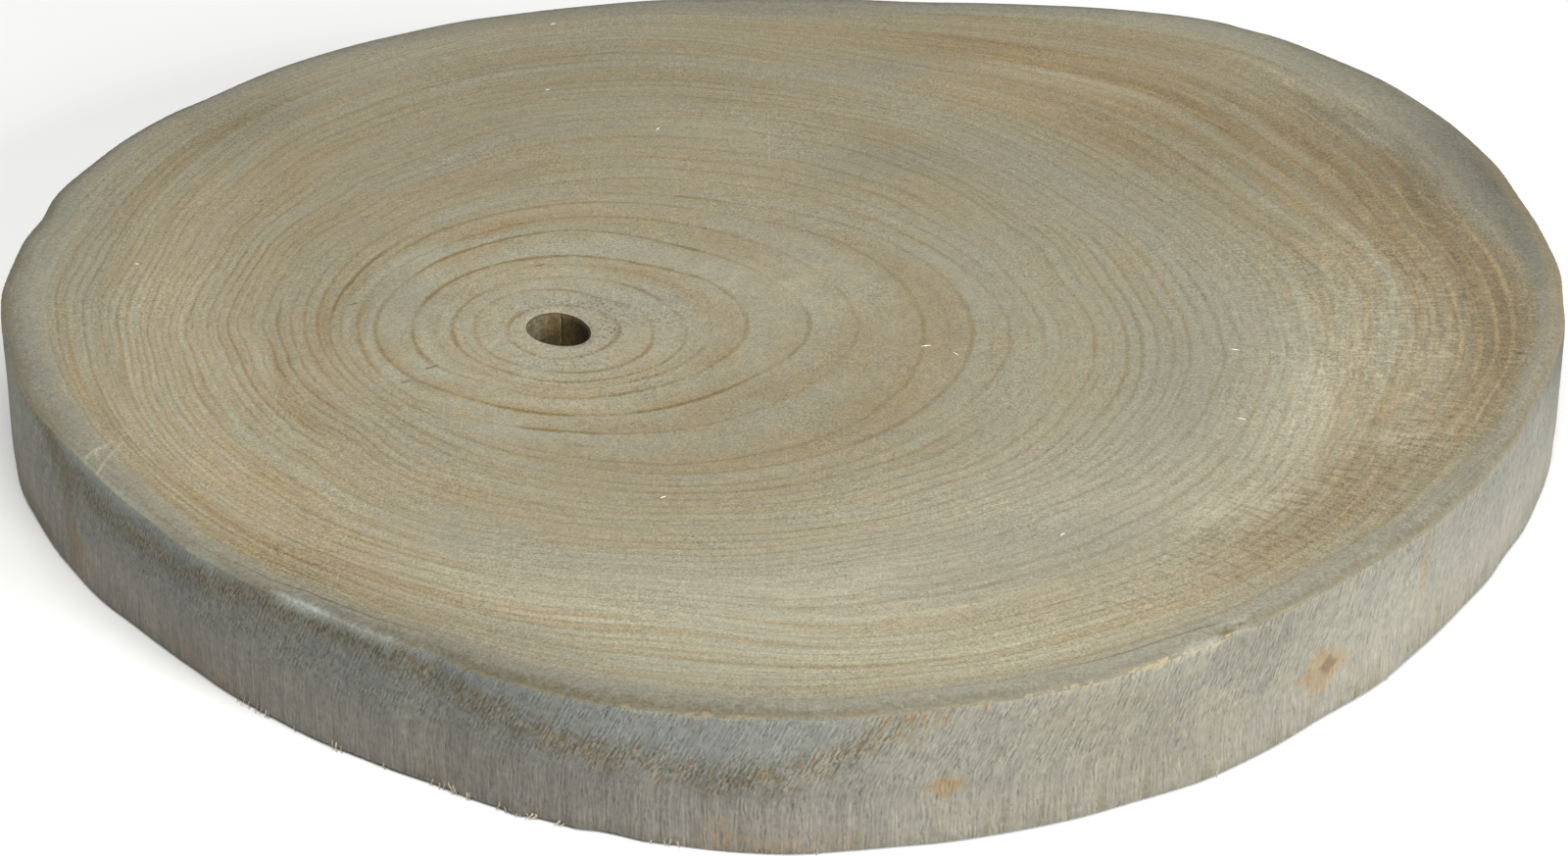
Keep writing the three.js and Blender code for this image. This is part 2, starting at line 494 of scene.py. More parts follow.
# A zone has its age and half its width in years, its bearing and half its reach, and its strength.
ZONES = {
    "tan": [
        (18, 12, 155, 45, 0.3), (22, 11, -140, 40, 0.22), (30, 4, -112, 15, 0.3), (20, 9, -40, 50, -0.35),
        (26, 5, -10, 40, -0.2), (33, 5, 35, 25, 0.5), (33, 5, -20, 25, 0.4), (35, 3, -130, 14, 0.3),
        (6, 2.5, -40, 40, 0.3), (14, 4, -100, 40, 0.2), (37.5, 2, 140, 30, -0.4), (32, 5, 70, 25, 0.2),
        (34, 3, -150, 35, 0.3), (1.3, 0.9, 60, 60, -0.3), (1.2, 0.8, -70, 60, -0.15),
    ],
    "brown": [
        (37.6, 3.0, 24, 20, 0.7), (38.5, 2.5, -4, 14, 0.5), (33, 4, 42, 16, 0.4), (35.5, 3, -32, 16, 0.3),
        (28, 5, 50, 14, 0.15), (36, 4, -118, 14, 0.35), (26, 4, -116, 12, 0.3), (13, 2, -150, 25, 0.3),
        (34, 5, 128, 12, 0.35), (15, 3, 50, 30, 0.15), (10.5, 1.2, -45, 28, 0.2), (24, 4, 92, 18, 0.2),
        (33, 3, -118, 9, 0.3), (30, 3, 32, 14, 0.15), (39, 2, 98, 14, 0.35), (33, 3, 60, 8, 0.25),
    ],
    "shade": [
        (30, 7, -66, 30, 0.13), (28, 5, -12, 16, 0.08), (2.5, 4, -110, 60, 0.10), (2.5, 4, 110, 50, 0.08),
        (1.5, 1.5, 80, 50, 0.05), (37, 5, -54, 14, 0.10), (41.5, 2.8, -98, 20, -0.24),
        (25, 6, 172, 14, 0.10), (14, 3, -150, 14, 0.14), (26, 6, -130, 30, 0.18), (24, 5, 30, 24, -0.06),
        (41, 2.5, 5, 20, -0.16), (10, 4, 160, 26, -0.04), (6.5, 2, -45, 50, -0.09),
        (41.5, 2, -60, 20, -0.10), (17, 5, 110, 30, -0.05), (41.5, 2, -145, 25, 0.08),
        (37.5, 2.5, 172, 12, 0.10), (22, 4, -72, 14, -0.06), (31, 7, 127, 8, -0.09), (13, 5, 52, 7, -0.07),
        (40.5, 1.6, 44, 8, 0.14), (41.5, 1.6, 18, 12, -0.14), (32, 4, -30, 8, -0.06),
        (35, 2.5, 150, 14, -0.11), (33, 3, 170, 12, -0.09), (35.2, 2, -90, 9, -0.13), (31, 6, 50, 11, 0.19),
        (26, 2.5, -50, 10, -0.11), (29, 3, -90, 9, 0.10), (18, 8, -162, 18, 0.07),
        (14.6, 2.5, 70, 10, 0.09), (32.4, 2.5, 70, 9, 0.07), (40, 2, -170, 12, -0.08),
        (36, 3, -135, 16, 0.07), (35.2, 1.5, -42, 14, 0.12), (30, 8, -122, 14, 0.06),
        (4, 1.5, 140, 20, 0.08), (41.5, 1.2, -170, 45, 0.12), (41.5, 1.5, 21, 8, -0.12),
        (42, 1.2, 31, 4, 0.12), (36, 3, 110, 9, 0.08), (11.5, 1.5, -150, 12, 0.07), (41, 1, -110, 9, -0.10),
        (37.6, 1.5, 130, 8, -0.05),
    ],
    "sway": [
        (29, 6, -76, 8, 1.3), (31, 6, -96, 8, -0.7), (32, 6, 10, 9, -0.7), (32, 7, -16, 8, 0.9),
        (33, 7, -35, 9, -0.6), (33, 6, 150, 12, 0.8), (30, 8, 125, 9, -0.6), (38, 4, 16, 9, 0.8),
        (36, 2.5, 11, 9, 0.35), (37.5, 2.6, -5, 5, -0.5),
    ],
    "wave": [
        (32, 9, -80, 40, 1.0), (30, 10, -160, 50, 0.7), (35, 7, 20, 40, 0.8), (16, 8, -150, 60, 0.4),
        (5, 4, 180, 180, 0.5), (30, 10, 120, 50, 0.3),
    ],
}
RING_INK = {
    0: 0.65, 1: 0.5, 2: 0.8, 3: 0.35, 4: 0.7, 5: 0.65, 6: 0.45, 7: 0.5, 8: 0.5, 9: 0.5, 11: 0.55, 19: 0.55,
    23: 0.45, 42: 0.45,
}
OUTER_INK = [
    [0, 0.75], [30, 0.75], [60, 0.7], [90, 0.6], [130, 0.65], [165, 1.0], [185, 1.0], [220, 0.85],
    [250, 0.65], [280, 0.65], [310, 0.95], [340, 0.75],
]
HALF_A_RING = 0.45
# An arc has its year, where it starts and ends, and how much ink it adds or takes.
DARK_ARCS = [
    (0, 130, 330, 0.25), (1, 270, 350, 0.35), (2, 285, 345, 0.5), (3, 280, 345, 0.35), (4, 290, 345, 0.3),
    (2, -60, 40, 0.2), (2, 60, 135, -0.45), (2, 180, 265, 0.2), (4, 40, 155, 0.7), (5, 237, 275, 0.9),
    (5, 295, 335, 0.75), (5, 53, 61, 0.9), (5, 95, 140, 0.5), (6, 262, 283, 0.9), (8, 60, 72, 1.2),
    (8, 138, 176, 0.7), (12, 190, 222, 0.6), (12, 168, 186, 0.5), (36, -14, 20, 0.3), (37, -14, 19, -0.35),
    (38, -14, 19, 0.4), (39, -14, 19, 0.4), (40, -10, 19, 0.35), (41, -14, 19, -0.35),
]
BAND_WIDTH = [
    [0, 7], [15, 16], [30, 17], [45, 20], [60, 11], [75, 13], [90, 16], [105, 12], [120, 12], [135, 10],
    [150, 7.5], [165, 11], [180, 13], [195, 10], [210, 7], [225, 6], [240, 6.5], [255, 7.5], [270, 7],
    [285, 7], [300, 7.5], [315, 8], [330, 7], [345, 6],
]
LIP = [
    [0, 0.1], [45, 0.1], [100, 0.2], [180, 0.2], [200, 0.25], [225, 0.1], [240, 0.12], [250, 0.25],
    [258, 0.25], [262, 0.5], [267, 0.5], [270, 0.2], [280, 0.15], [284, 0.4], [292, 0.8], [298, 1.0],
    [300.6, 1.0], [301.6, 0.1], [304, 0.15], [306, 0.4], [308, 0.1], [320, 0.2], [335, 0.15],
]
CRUST = [
    [0, 0.2], [60, 0.1], [150, 0.2], [190, 0.4], [212, 0.2], [232, 0.1], [238, 0.5], [248, 0.8], [262, 0.8],
    [280, 0.4], [290, 0.1], [299.4, 0.1], [300.2, 1.5], [301.6, 1.5], [302.6, 0.5], [306, 0.3], [318, 0.6],
    [335, 0.4], [350, 0.2],
]
GROOVE_AT = [
    [200, 0.4], [215, 1.6], [228, 3.2], [240, 4.5], [250, 5.5], [288, 6.0], [296, 5.2], [303, 3.4],
    [330, 3.6],
]
GROOVE_INK = [
    [195, 0], [203, 0.45], [209, 0.25], [224, 0.4], [231, 0.8], [238, 0.9], [250, 0], [284, 0], [290, 0.6],
    [299, 0.9], [302, 0], [318, 0], [325, 0.3], [335, 0.3], [345, 0],
]
EDGE_TAN = [[0, 0.6], [10, 0.75], [22, 0.7], [29, 0], [330, 0], [345, 0.3], [354, 0.5]]
# A bare chip has its bearing, half its width in degrees, and how bare it is.
BARE = [
    (-124.6, 2.8, 1.5), (-118.8, 2.8, 0.75), (-134, 3.0, 0.3), (-147.5, 9.0, 0.4), (-58.3, 0.8, 0.5),
    (-62, 1.6, 0.4), (-113, 2.0, 0.3),
]


def bared(bearings):
    """Where the upper lip is chipped and shows fresh pale wood."""
    total = np.zeros_like(bearings)
    for bearing, half, strength in BARE:
        total += strength * hump(degrees_from(bearing, bearings), half, 4)
    return total


def dabbed(kind, x, y):
    """How strong one kind of stain is at places on the face."""
    total = np.zeros_like(x)
    for middle_x, middle_y, half_x, half_y, turned, strength in DABS[kind]:
        turn = math.radians(turned)
        along = (x - middle_x) * math.cos(turn) + (y - middle_y) * math.sin(turn)
        across = (y - middle_y) * math.cos(turn) - (x - middle_x) * math.sin(turn)
        total += strength * hump(along, half_x) * hump(across, half_y)
    return total


def zoned(kind, ages, bearings):
    """How strong one kind of tone is, in zones given by age and bearing."""
    total = np.zeros_like(ages)
    for age, half, bearing, half_round, strength in ZONES[kind]:
        total += strength * hump(ages - age, half) * hump(degrees_from(bearing, bearings), half_round)
    return total


def banded(ages, bearings):
    """How tan the wood is where a band of years is."""
    total = np.zeros_like(ages)
    for age, half, start, end, strength in TAN_BANDS:
        total += strength * hump(ages - age, half) * window(bearings, start, end, 24)
    return total


def inked(ages, bearings):
    """How dark the ring lines are drawn."""
    ink = np.interp(np.round(ages), list(RING_INK), list(RING_INK.values()))
    outer = fade(ages, 8, 11)
    ink = ink * (1 + outer * (by_bearing(OUTER_INK, bearings) - 1))
    for ring, start, end, strength in DARK_ARCS:
        ink = ink + strength * hump(ages - ring, HALF_A_RING, 4) * window(bearings, start, end)
    return ink


print({kind: len(dabs) for kind, dabs in DABS.items()}, "dabs,", len(TAN_BANDS), "tan bands")

# %% [markdown]
# ## The rows, one after another
#
# Each row is a ring of points with its marks: the age, the stains, the grain coordinates of the side.
# The face's rows run out from the pith's mouth to the edge, each a share of the way. The same code makes
# the underside, with fewer rows, because nobody sees it close.

# %% A row of points, and the marks of a sawn face
MARKS = (
    "age", "ring_mm", "rim_mm", "rim_share", "upper", "ink", "tan", "brown", "grey", "pale", "rays",
    "hatch", "pale_rings", "shade", "wave", "speck", "lip", "crust", "edge_tan", "groove", "groove_ink",
    "bare", "rust", "depth", "ripple", "band_off", "warm", "straw",
)
rows = []
mouth_ring = feel_pith(THICKNESS)
bevel_width = by_bearing(BEVEL, column_bearings)
band_width = by_bearing(BAND_WIDTH, column_bearings)


def lines_from_pith(x, y):
    """The straight lines from the pith out to a row of edge points, and the rings that they cross."""
    bearings = np.arctan2(y - PITH[1], x - PITH[0])
    reach = np.hypot(x - PITH[0], y - PITH[1])
    mouth = read_round(mouth_ring, bearings)
    return {"bearings": bearings, "reach": reach, "mouth": mouth, "keys": key_radii(bearings, mouth, reach)}


edge_radius = read_round(feel_trunk(THICKNESS - BEVEL_DROP - 0.6), column_bearings)
upper = lines_from_pith(edge_radius * np.cos(column_bearings), edge_radius * np.sin(column_bearings))


def add_row(points, finish, **marks):
    """Keeps one row of points with its marks. The finish is that of the faces that follow it."""
    kept = {name: np.broadcast_to(np.asarray(marks.get(name, 0.0), float), len(points)) for name in MARKS}
    kept["fibre"] = marks.get("fibre", points)
    rows.append({"points": points, "finish": finish, "marks": kept})


def face_row(lines, radii, height, step, finish="sawn_face", face_up=True):
    """A row of a sawn face: radii along every so many of its lines, and heights."""
    keep = slice(None, None, step)
    bearings = lines["bearings"][keep]
    x = PITH[0] + radii * np.cos(bearings)
    y = PITH[1] + radii * np.sin(bearings)
    ages, widths = age_at(radii, lines["keys"][:, keep])
    shown = 1.0 if face_up else 0.3
    marks = {
        "age": ages + zoned("sway", ages, bearings),
        "ring_mm": widths,
        "rim_mm": lines["reach"][keep] - radii,
        "rim_share": (lines["reach"][keep] - radii) / band_width[keep],
        "upper": float(face_up),
        "ink": inked(ages, bearings),
        "tan": (banded(ages, bearings) + zoned("tan", ages, bearings)) * shown,
        "brown": (dabbed("brown", x, y) + zoned("brown", ages, bearings)) * shown,
        "shade": zoned("shade", ages, bearings) * shown,
        "wave": 0.25 + zoned("wave", ages, bearings),
        "speck": dabbed("speck", x, y) * shown,
        "groove": (lines["reach"][keep] - radii) - by_bearing(GROOVE_AT, np.arctan2(y, x)),
        "groove_ink": by_bearing(GROOVE_INK, np.arctan2(y, x)) * shown,
        "bare": bared(np.arctan2(y, x)) * (1 - fade(lines["reach"][keep] - radii, 0.5, 2.2)) * shown,
        "grey": dabbed("grey", x, y) * shown,
        "pale": dabbed("pale", x, y) * shown,
        "rays": 0.2 + hump(x - 158, 42) * hump(y + 15, 75),
        "hatch": dabbed("hatch", x, y) * shown,
        "pale_rings": window(bearings, -15, 19) * fade(ages, 35.0, 35.6) * shown,
        "lip": by_bearing(LIP, np.arctan2(y, x)) * shown,
        "crust": by_bearing(CRUST, np.arctan2(y, x)) * shown,
        "edge_tan": by_bearing(EDGE_TAN, np.arctan2(y, x)) * shown,
    }
    add_row(np.stack([x, y, np.broadcast_to(height, len(x))], 1), finish, **marks)


print(f"the pith stands {upper['reach'].min():.0f} to {upper['reach'].max():.0f} mm from the edge")

# %% Rows of the upper face and the worn edge
INNER = {"step": 16, "shares": np.linspace(0.012, 0.215, 22)}
OUTER = {"step": 8, "shares": np.linspace(0.225, 0.96, 50)}
NEAR_RIM = ((4, 0.975), (2, 0.99))
FACE_SWELL = 0.05
flat_reach = upper["reach"] - bevel_width - upper["mouth"]


def face_height(radii, step):
    """The sawn face's height: flat, with a hardly visible swell."""
    bearings = upper["bearings"][::step]
    swell = np.sin(0.045 * radii + 2 * bearings) + np.sin(0.11 * radii * np.cos(bearings - 0.4))
    return THICKNESS - FACE_SWELL * (1 + 0.5 * swell) * fade(radii, 12, 30)


def share_row(share, step):
    """A row of the upper face, a share of the way from the mouth to the worn edge."""
    radii = (upper["mouth"] + share * flat_reach)[::step]
    face_row(upper, radii, face_height(radii, step), step)


face_row(upper, upper["mouth"][::16] + 0.12, THICKNESS - 0.12, 16)
for share in INNER["shares"]:
    share_row(share, INNER["step"])
for share in OUTER["shares"]:
    share_row(share, OUTER["step"])
for step, share in NEAR_RIM:
    share_row(share, step)
lip_cut = chipped(column_bearings) + 0.12 * crumbs
for share in BEVEL_SHARES:
    cut = share * bevel_width + (1 - share) * lip_cut
    drop = FACE_SWELL + (BEVEL_DROP - FACE_SWELL) * (1 - share) ** BEVEL_ROUND
    face_row(upper, (upper["reach"] - cut)[::2], THICKNESS - drop, 2)
print(len(rows), "rows make the upper face")

# %% [markdown]
# ## Down the side
#
# The light picks out the side most of all, so it gets every column. Each of its rows knows how deep it is,
# how far it lies from the brown tide mark, how warm or rusty the wood is there, and how much lighter or
# darker it is painted: partly painted light and shade, partly the wood's own tone. One list could hold it
# all, but a list for each tone is easier to put right.

# %% Rows of the side
LIP_DEPTH = 1.3
BARE_DEPTH = 0.9
BROWN_BAND = [
    [-176, -4], [-162, -2], [-159, 3], [-157, 6], [-153, 7], [-146, 7.6], [-138, 7.8], [-134, 6.5],
    [-131, 4], [-123, 3.4], [-118, 3.8], [-114, 5.8], [-110.5, 8.5], [-107, 10.5], [-104, 12.8],
    [-101, 14.6], [-99, 13], [-97, 15.8], [-94.5, 17], [-92.4, 15.2], [-90.5, 15.8], [-88, 12.5],
    [-86, 9.5], [-85, 7], [-83.2, 4], [-82, 1], [-79, -4], [-60, -12], [0, -14], [40, 6], [80, 9], [110, 5],
    [150, 8], [180, -4],
]
WARM = [
    [-180, 0.3], [-150, 0.2], [-120, 0.1], [-100, 0.15], [-85, 0.5], [-72, 0.8], [-60, 0.75], [-40, 0.6],
    [-15, 0.4], [30, 0.4], [90, 0.4], [140, 0.3],
]
RUST = [
    [0, 0.5], [60, 0.4], [180, 0.15], [225, 0.15], [240, 0.4], [250, 0.6], [262, 0.8], [275, 0.9],
    [290, 0.6],
]
# A zone of the side has its bearing, half its width, its depth, half its height, and its strength.
# The zones paint light and shade into the side's colour, lighter on the lit right and darker where the side
# turns away from the lamps, mixed with the wood's own lighter and darker patches.
WALL_SHADES = [
    (-126, 12, 10, 11, -0.14), (-108, 8, 22, 18, -0.12), (-57, 5, 8, 14, -0.12), (-44, 14, 3, 5, -0.10),
    (-30, 18, 16, 10, 0.09), (-6, 6, 6, 12, -0.25), (-148, 12, 12, 5, -0.14), (-166, 7, 18, 20, 0.14),
    (-152, 14, 6, 4, 0.08), (-64, 7, 8, 5, -0.05), (-92, 9, 20, 5, -0.14), (-104, 8, 10, 5, 0.08),
    (-66, 8, 26, 14, -0.08), (-30, 20, 25, 7, 0.08), (-36, 30, 28, 9, 0.14), (-12, 10, 2, 4, -0.20),
    (-70, 6, 12, 14, -0.07), (-16, 8, 26, 6, 0.08), (-152, 14, 24, 5, 0.10), (-64, 7, 4, 5, 0.08),
    (-130, 26, 6, 2, 0.06), (-56, 5, 4.5, 4, -0.07), (-47.5, 4, 6, 2.5, 0.08), (-38, 8, 11, 5, 0.05),
    (-8, 7, 8, 6, -0.09), (-6, 8, 31, 5, 0.09), (-17, 4, 10, 7, 0.07), (-144, 6, 29.5, 5, 0.10),
    (-144, 5, 3, 2, -0.10), (-120, 4, 3, 2, -0.09), (-88, 4, 3, 2, -0.06),
]


def wall_shade(bearings, depth):
    """How much lighter or darker the side is in zones given by bearing and depth: painted light and shade
    mixed with the wood's own tone.
    """
    total = np.zeros_like(bearings)
    for bearing, half, middle, half_depth, strength in WALL_SHADES:
        total += strength * hump(degrees_from(bearing, bearings), half) * hump(depth - middle, half_depth)
    return total


def wall_row(depth, inset=0.0, finish="peeled_side"):
    """A row of the side at a depth below the face, leaning back with the ripples."""
    bearings = column_bearings - lean_at(depth) / LEAN_REACH
    relief, ripple = relief_at(depth)
    radii = read_round(feel_trunk(THICKNESS - depth), bearings) + relief - inset
    radii = radii - lip_cut * hump(max(depth - WALL_TOP, 0), LIP_DEPTH)
    points = np.stack([radii * np.cos(bearings), radii * np.sin(bearings),
                       np.full(COLUMNS, THICKNESS - depth)], 1)
    marks = {
        "age": RIM_AGE,
        "ring_mm": 3.0,
        "ink": 0.3,
        "depth": depth,
        "ripple": ripple,
        "band_off": depth - by_bearing(BROWN_BAND, bearings),
        "warm": by_bearing(WARM, bearings),
        "lip": by_bearing(LIP, bearings),
        "rust": by_bearing(RUST, bearings),
        "bare": bared(bearings) * hump(depth - WALL_TOP, BARE_DEPTH) * 0.5,
        "shade": wall_shade(bearings, depth),
        "fibre": np.stack([LEAN_REACH * np.cos(column_bearings), LEAN_REACH * np.sin(column_bearings),
                           np.full(COLUMNS, depth)], 1),
    }
    add_row(points, finish, **marks)


tear = by_bearing(TORN, column_bearings)
for depth in wall_depths:
    wall_row(depth)
wall_row(THICKNESS - 0.35, 0.15 + 0.5 * tear * ragged)
wall_row(THICKNESS, 0.6 + 1.1 * tear * ragged, "sawn_face")
print(len(wall_depths) + 2, "rows make the side")

# %% [markdown]
# ## Under the slice and up through the pith
#
# Nobody sees the underside, and only the upper part of the pith channel shows. They could be left open, but
# a closed skin can be weighed, printed and lit from any side, and it takes only a few rows.

# %% Rows of the underside and the pith channel
UNDER_EDGE = ((2, 3.0), (4, 8.0), (8, 16.0))
UNDER_SHARES = (0.8, 0.65, 0.5, 0.35, 0.2, 0.08)
CHANNEL_HEIGHTS = (0.5, 1.8, 4, 7, 10, 13, 16, 19, 22, 25, 28, 31, 33.2, 34.8, 35.5)
CHANNEL_ROUGH = 0.22
SEAM = {"bearing": 91, "half": 3.0, "deep": 0.25}
CHANNEL_STEP = 16

under = lines_from_pith(*rows[-1]["points"][:, :2].T)
for step, inset in UNDER_EDGE:
    face_row(under, (under["reach"] - inset)[::step], 0.0, step, face_up=False)
for share in UNDER_SHARES:
    radii = (under["mouth"] + share * (under["reach"] - under["mouth"]))[::CHANNEL_STEP]
    face_row(under, radii, 0.0, CHANNEL_STEP, face_up=False)


def channel_row(height):
    """A row of the hollow pith, a little rough, with the seam that runs down it."""
    bearings = upper["bearings"][::CHANNEL_STEP]
    rough = [noise.noise(Vector((3 * math.cos(b), 3 * math.sin(b), height / 9))) for b in bearings]
    radii = read_round(feel_pith(height), bearings) + CHANNEL_ROUGH * np.array(rough)
    radii = radii + SEAM["deep"] * hump(degrees_from(SEAM["bearing"], bearings), SEAM["half"])
    x = PITH[0] + radii * np.cos(bearings)
    y = PITH[1] + radii * np.sin(bearings)
    add_row(np.stack([x, y, np.full(len(x), float(height))], 1), "pith_channel", depth=THICKNESS - height,
            age=MOUTH_AGE, ring_mm=10.0)


face_row(under, under["mouth"][::CHANNEL_STEP] + 0.25, 0.1, CHANNEL_STEP, "pith_channel", face_up=False)
for height in CHANNEL_HEIGHTS:
    channel_row(height)
print(len(rows), "rows in all")

# %% [markdown]
# ## Sewing the rows together
#
# Between two rows with as many points go four-sided faces. Where one row has twice as many, three
# triangles fill each gap. The last row is sewn to the first, so the skin is closed like a ring with
# a hole, and it could be printed as it is.

# %% Sewing
FINISHES = ("sawn_face", "peeled_side", "pith_channel", "dust_fleck")


def sew(near, far):
    """The faces between two rows of point numbers, the first nearer the start of the round."""
    near_next, far_next = np.roll(near, -1), np.roll(far, -1)
    if len(near) == len(far):
        return np.stack([near, far, far_next, near_next], 1).tolist()
    if len(near) < len(far):
        left, middle, right = far[::2], far[1::2], far_next[1::2]
        fans = [(near, left, middle), (near, middle, near_next), (near_next, middle, right)]
    else:
        left, middle, right = near[::2], near[1::2], near_next[1::2]
        fans = [(left, far, middle), (middle, far, far_next), (middle, far_next, right)]
    return [face for fan in fans for face in np.stack(fan, 1).tolist()]


starts = np.cumsum([0] + [len(row["points"]) for row in rows])
numbers = [np.arange(starts[k], starts[k + 1]) for k in range(len(rows))]
faces, face_finishes = [], []
for k, row in enumerate(rows):
    sewn = sew(numbers[k], numbers[(k + 1) % len(rows)])
    faces += sewn
    face_finishes += [FINISHES.index(row["finish"])] * len(sewn)
points = np.concatenate([row["points"] for row in rows])
marks = {name: np.concatenate([row["marks"][name] for row in rows]) for name in (*MARKS, "fibre")}
print(len(points), "points and", len(faces), "faces")

# %% [markdown]
# ## Torn fibres and flecks
#
# Where the saw came out, fibres stand off the lower edge, the palest in tufts that are swept along it, and
# some flecks of pale dust lie on the face. They could be particles, but an export drops those. So each is
# a small closed sliver: a four-sided rod that tapers, with a bend in its middle.

# %% Slivers
FIBRES = [
    (-132.0, 1.6, 0.6, 0.1), (-131.4, 2.6, 1.0, 0.15), (-130.9, 1.2, 0.7, 0.3), (-130.1, 2.2, 0.9, 0.1),
    (-129.6, 1.4, 0.5, 0.4), (-128.9, 2.0, 0.6, 0.2), (-126.3, 1.2, 0.4, 0.3), (-122.7, 1.8, 0.5, 0.5),
    (-121.9, 1.1, 0.4, 0.4), (-118.2, 1.2, 0.4, 0.4), (-114.2, 2.6, 0.7, 0.6), (-113.6, 1.5, 0.9, 0.6),
    (-113.2, 2.2, 0.4, 0.4), (-112.4, 1.2, 0.6, 0.6), (-111.2, 1.8, 0.5, 0.5), (-108.9, 2.4, 0.7, 0.6),
    (-108.4, 1.4, 0.9, 0.6), (-107.8, 2.0, 0.5, 0.5), (-107.3, 1.2, 0.8, 0.6), (-104.5, 1.2, 0.3, 0.4),
    (-97.6, 1.2, 0.5, 0.5), (-97.1, 2.0, 0.6, 0.5), (-96.7, 1.3, 0.4, 0.5), (-88.0, 1.0, 0.3, 0.3),
    (-60.5, 1.0, 0.4, 0.4), (-43.0, 1.0, 0.4, 0.4), (35.0, 1.8, 0.7, 0.4), (36.0, 1.2, 0.5, 0.4),
    (62.0, 2.2, 0.8, 0.5), (101.0, 1.6, 0.6, 0.4), (148.0, 1.9, 0.7, 0.5), (149.0, 1.2, 0.6, 0.4),
]
TUFTS = [
    (-129.2, 1.6, 0.7, 0.8, 0.4), (-122.3, 1.6, 0.7, 0.9, 0.5), (-112.9, 3.2, 0.9, 1.0, 1.8),
    (-112.5, 2.4, 0.7, 0.9, 1.5), (-111.4, 1.5, 0.7, 0.9, 0.3), (-107.8, 2.4, 0.7, 1.0, 0.4),
    (-107.5, 1.5, 1.0, 1.0, -0.3), (-106.9, 2.8, 0.6, 0.9, 1.0), (-106.5, 1.8, 1.2, 1.0, -1.5),
    (-106.2, 1.2, 1.0, 1.0, -1.6), (-104.5, 1.4, 1.1, 1.0, -1.6), (-104.2, 0.9, 0.9, 0.9, -1.2),
    (-98.4, 1.9, 0.7, 1.0, 0.2),
]
TUFT_WIDTH = 0.62
FLECKS = [
    (-35, 100, 2.0, 60), (35, -31, 2.6, 15), (42, -35, 2.2, -50), (111, -33, 2.6, -12),
    (109, -69, 2.4, -10), (-28, -107, 1.4, 30), (-68, 175, 1.5, 10), (63, -124, 1.4, 40),
    (-167, 15, 1.2, 0), (-67, 127, 1.2, 20),
]
FIBRE_WIDTH = 0.45
FLECK_WIDTH = 0.38


def add_sliver(spine, widths, side, finish, **mark):
    """A closed four-sided rod along a spine of points, with a width at each."""
    side = np.asarray(side, float)
    first = len(points)
    ring_points = []
    for here, (centre, width) in enumerate(zip(spine, widths)):
        run = np.subtract(spine[min(here + 1, len(spine) - 1)], spine[max(here - 1, 0)])
        rise = np.cross(run / np.linalg.norm(run), side)
        for turn in range(4):
            angle = math.tau * turn / 4
            ring_points.append(centre + width / 2 * (math.cos(angle) * side + 0.6 * math.sin(angle) * rise))
    rods = []
    for ring in range(len(spine) - 1):
        for turn in range(4):
            a, b = first + 4 * ring + turn, first + 4 * ring + (turn + 1) % 4
            rods.append([a, b, b + 4, a + 4])
    last = first + 4 * (len(spine) - 1)
    rods += [[first + 3, first + 2, first + 1, first], [last, last + 1, last + 2, last + 3]]
    return np.array(ring_points), rods, FINISHES.index(finish), mark


def sew_on(sliver):
    """Adds a sliver to the slice's points, faces and marks."""
    global points
    new_points, new_faces, finish, mark = sliver
    points = np.concatenate([points, new_points])
    faces.extend(new_faces)
    face_finishes.extend([finish] * len(new_faces))
    for name in MARKS:
        marks[name] = np.concatenate([marks[name], np.full(len(new_points), mark.get(name, 0.0))])
    marks["fibre"] = np.concatenate([marks["fibre"], new_points * (1, 1, -1) + (0, 0, THICKNESS)])


foot_ring = feel_trunk(1.2)


def tear_off(bearing, length, lift, straw, swept, width):
    """A torn fibre at the foot, from its root in the side to a tip that is swept along the edge."""
    angle = math.radians(bearing)
    out = np.array([math.cos(angle), math.sin(angle), 0])
    along = np.array([-math.sin(angle), math.cos(angle), 0])
    foot = float(read_round(foot_ring, np.array([angle]))[0])
    root = out * (foot - 0.35) + np.array([0, 0, 0.9 + length])
    bend = out * (foot + 0.05) + along * 0.2 * math.sin(5 * bearing) + np.array([0, 0, 0.7 + 0.4 * length])
    tip = out * (foot + lift) + along * swept + np.array([0, 0, 0.25])
    sew_on(add_sliver([root, bend, tip], [width, width, 0.08], along, "peeled_side",
                      depth=34.0, straw=straw, band_off=20.0, warm=0.4, ripple=0.3))


for bearing, length, lift, straw in FIBRES:
    tear_off(bearing, length, lift, straw, 0.6 * math.sin(7 * bearing), FIBRE_WIDTH)
for tuft in TUFTS:
    tear_off(*tuft, TUFT_WIDTH)
for x, y, length, turned in FLECKS:
    way = np.array([math.cos(math.radians(turned)), math.sin(math.radians(turned)), 0])
    side = np.array([-way[1], way[0], 0])
    middle = np.array([x, y, THICKNESS + 0.1])
    spine = [middle - way * length / 2, middle + side * 0.12, middle + way * length / 2]
    sew_on(add_sliver(spine, [0.7 * FLECK_WIDTH, FLECK_WIDTH, 0.5 * FLECK_WIDTH], side, "dust_fleck"))
print(len(FIBRES) + len(TUFTS), "torn fibres and", len(FLECKS), "flecks")

# %% [markdown]
# ## Finishes are recipes
#
# A finish could be photographed, but a recipe of noise and sums can be read, changed and baked at any
# size. To keep the recipes readable, a node's output is wrapped so that it can stand in a sum, and each
# kind of step is one short method.

# %% Wires and recipes
SWING = 3.2


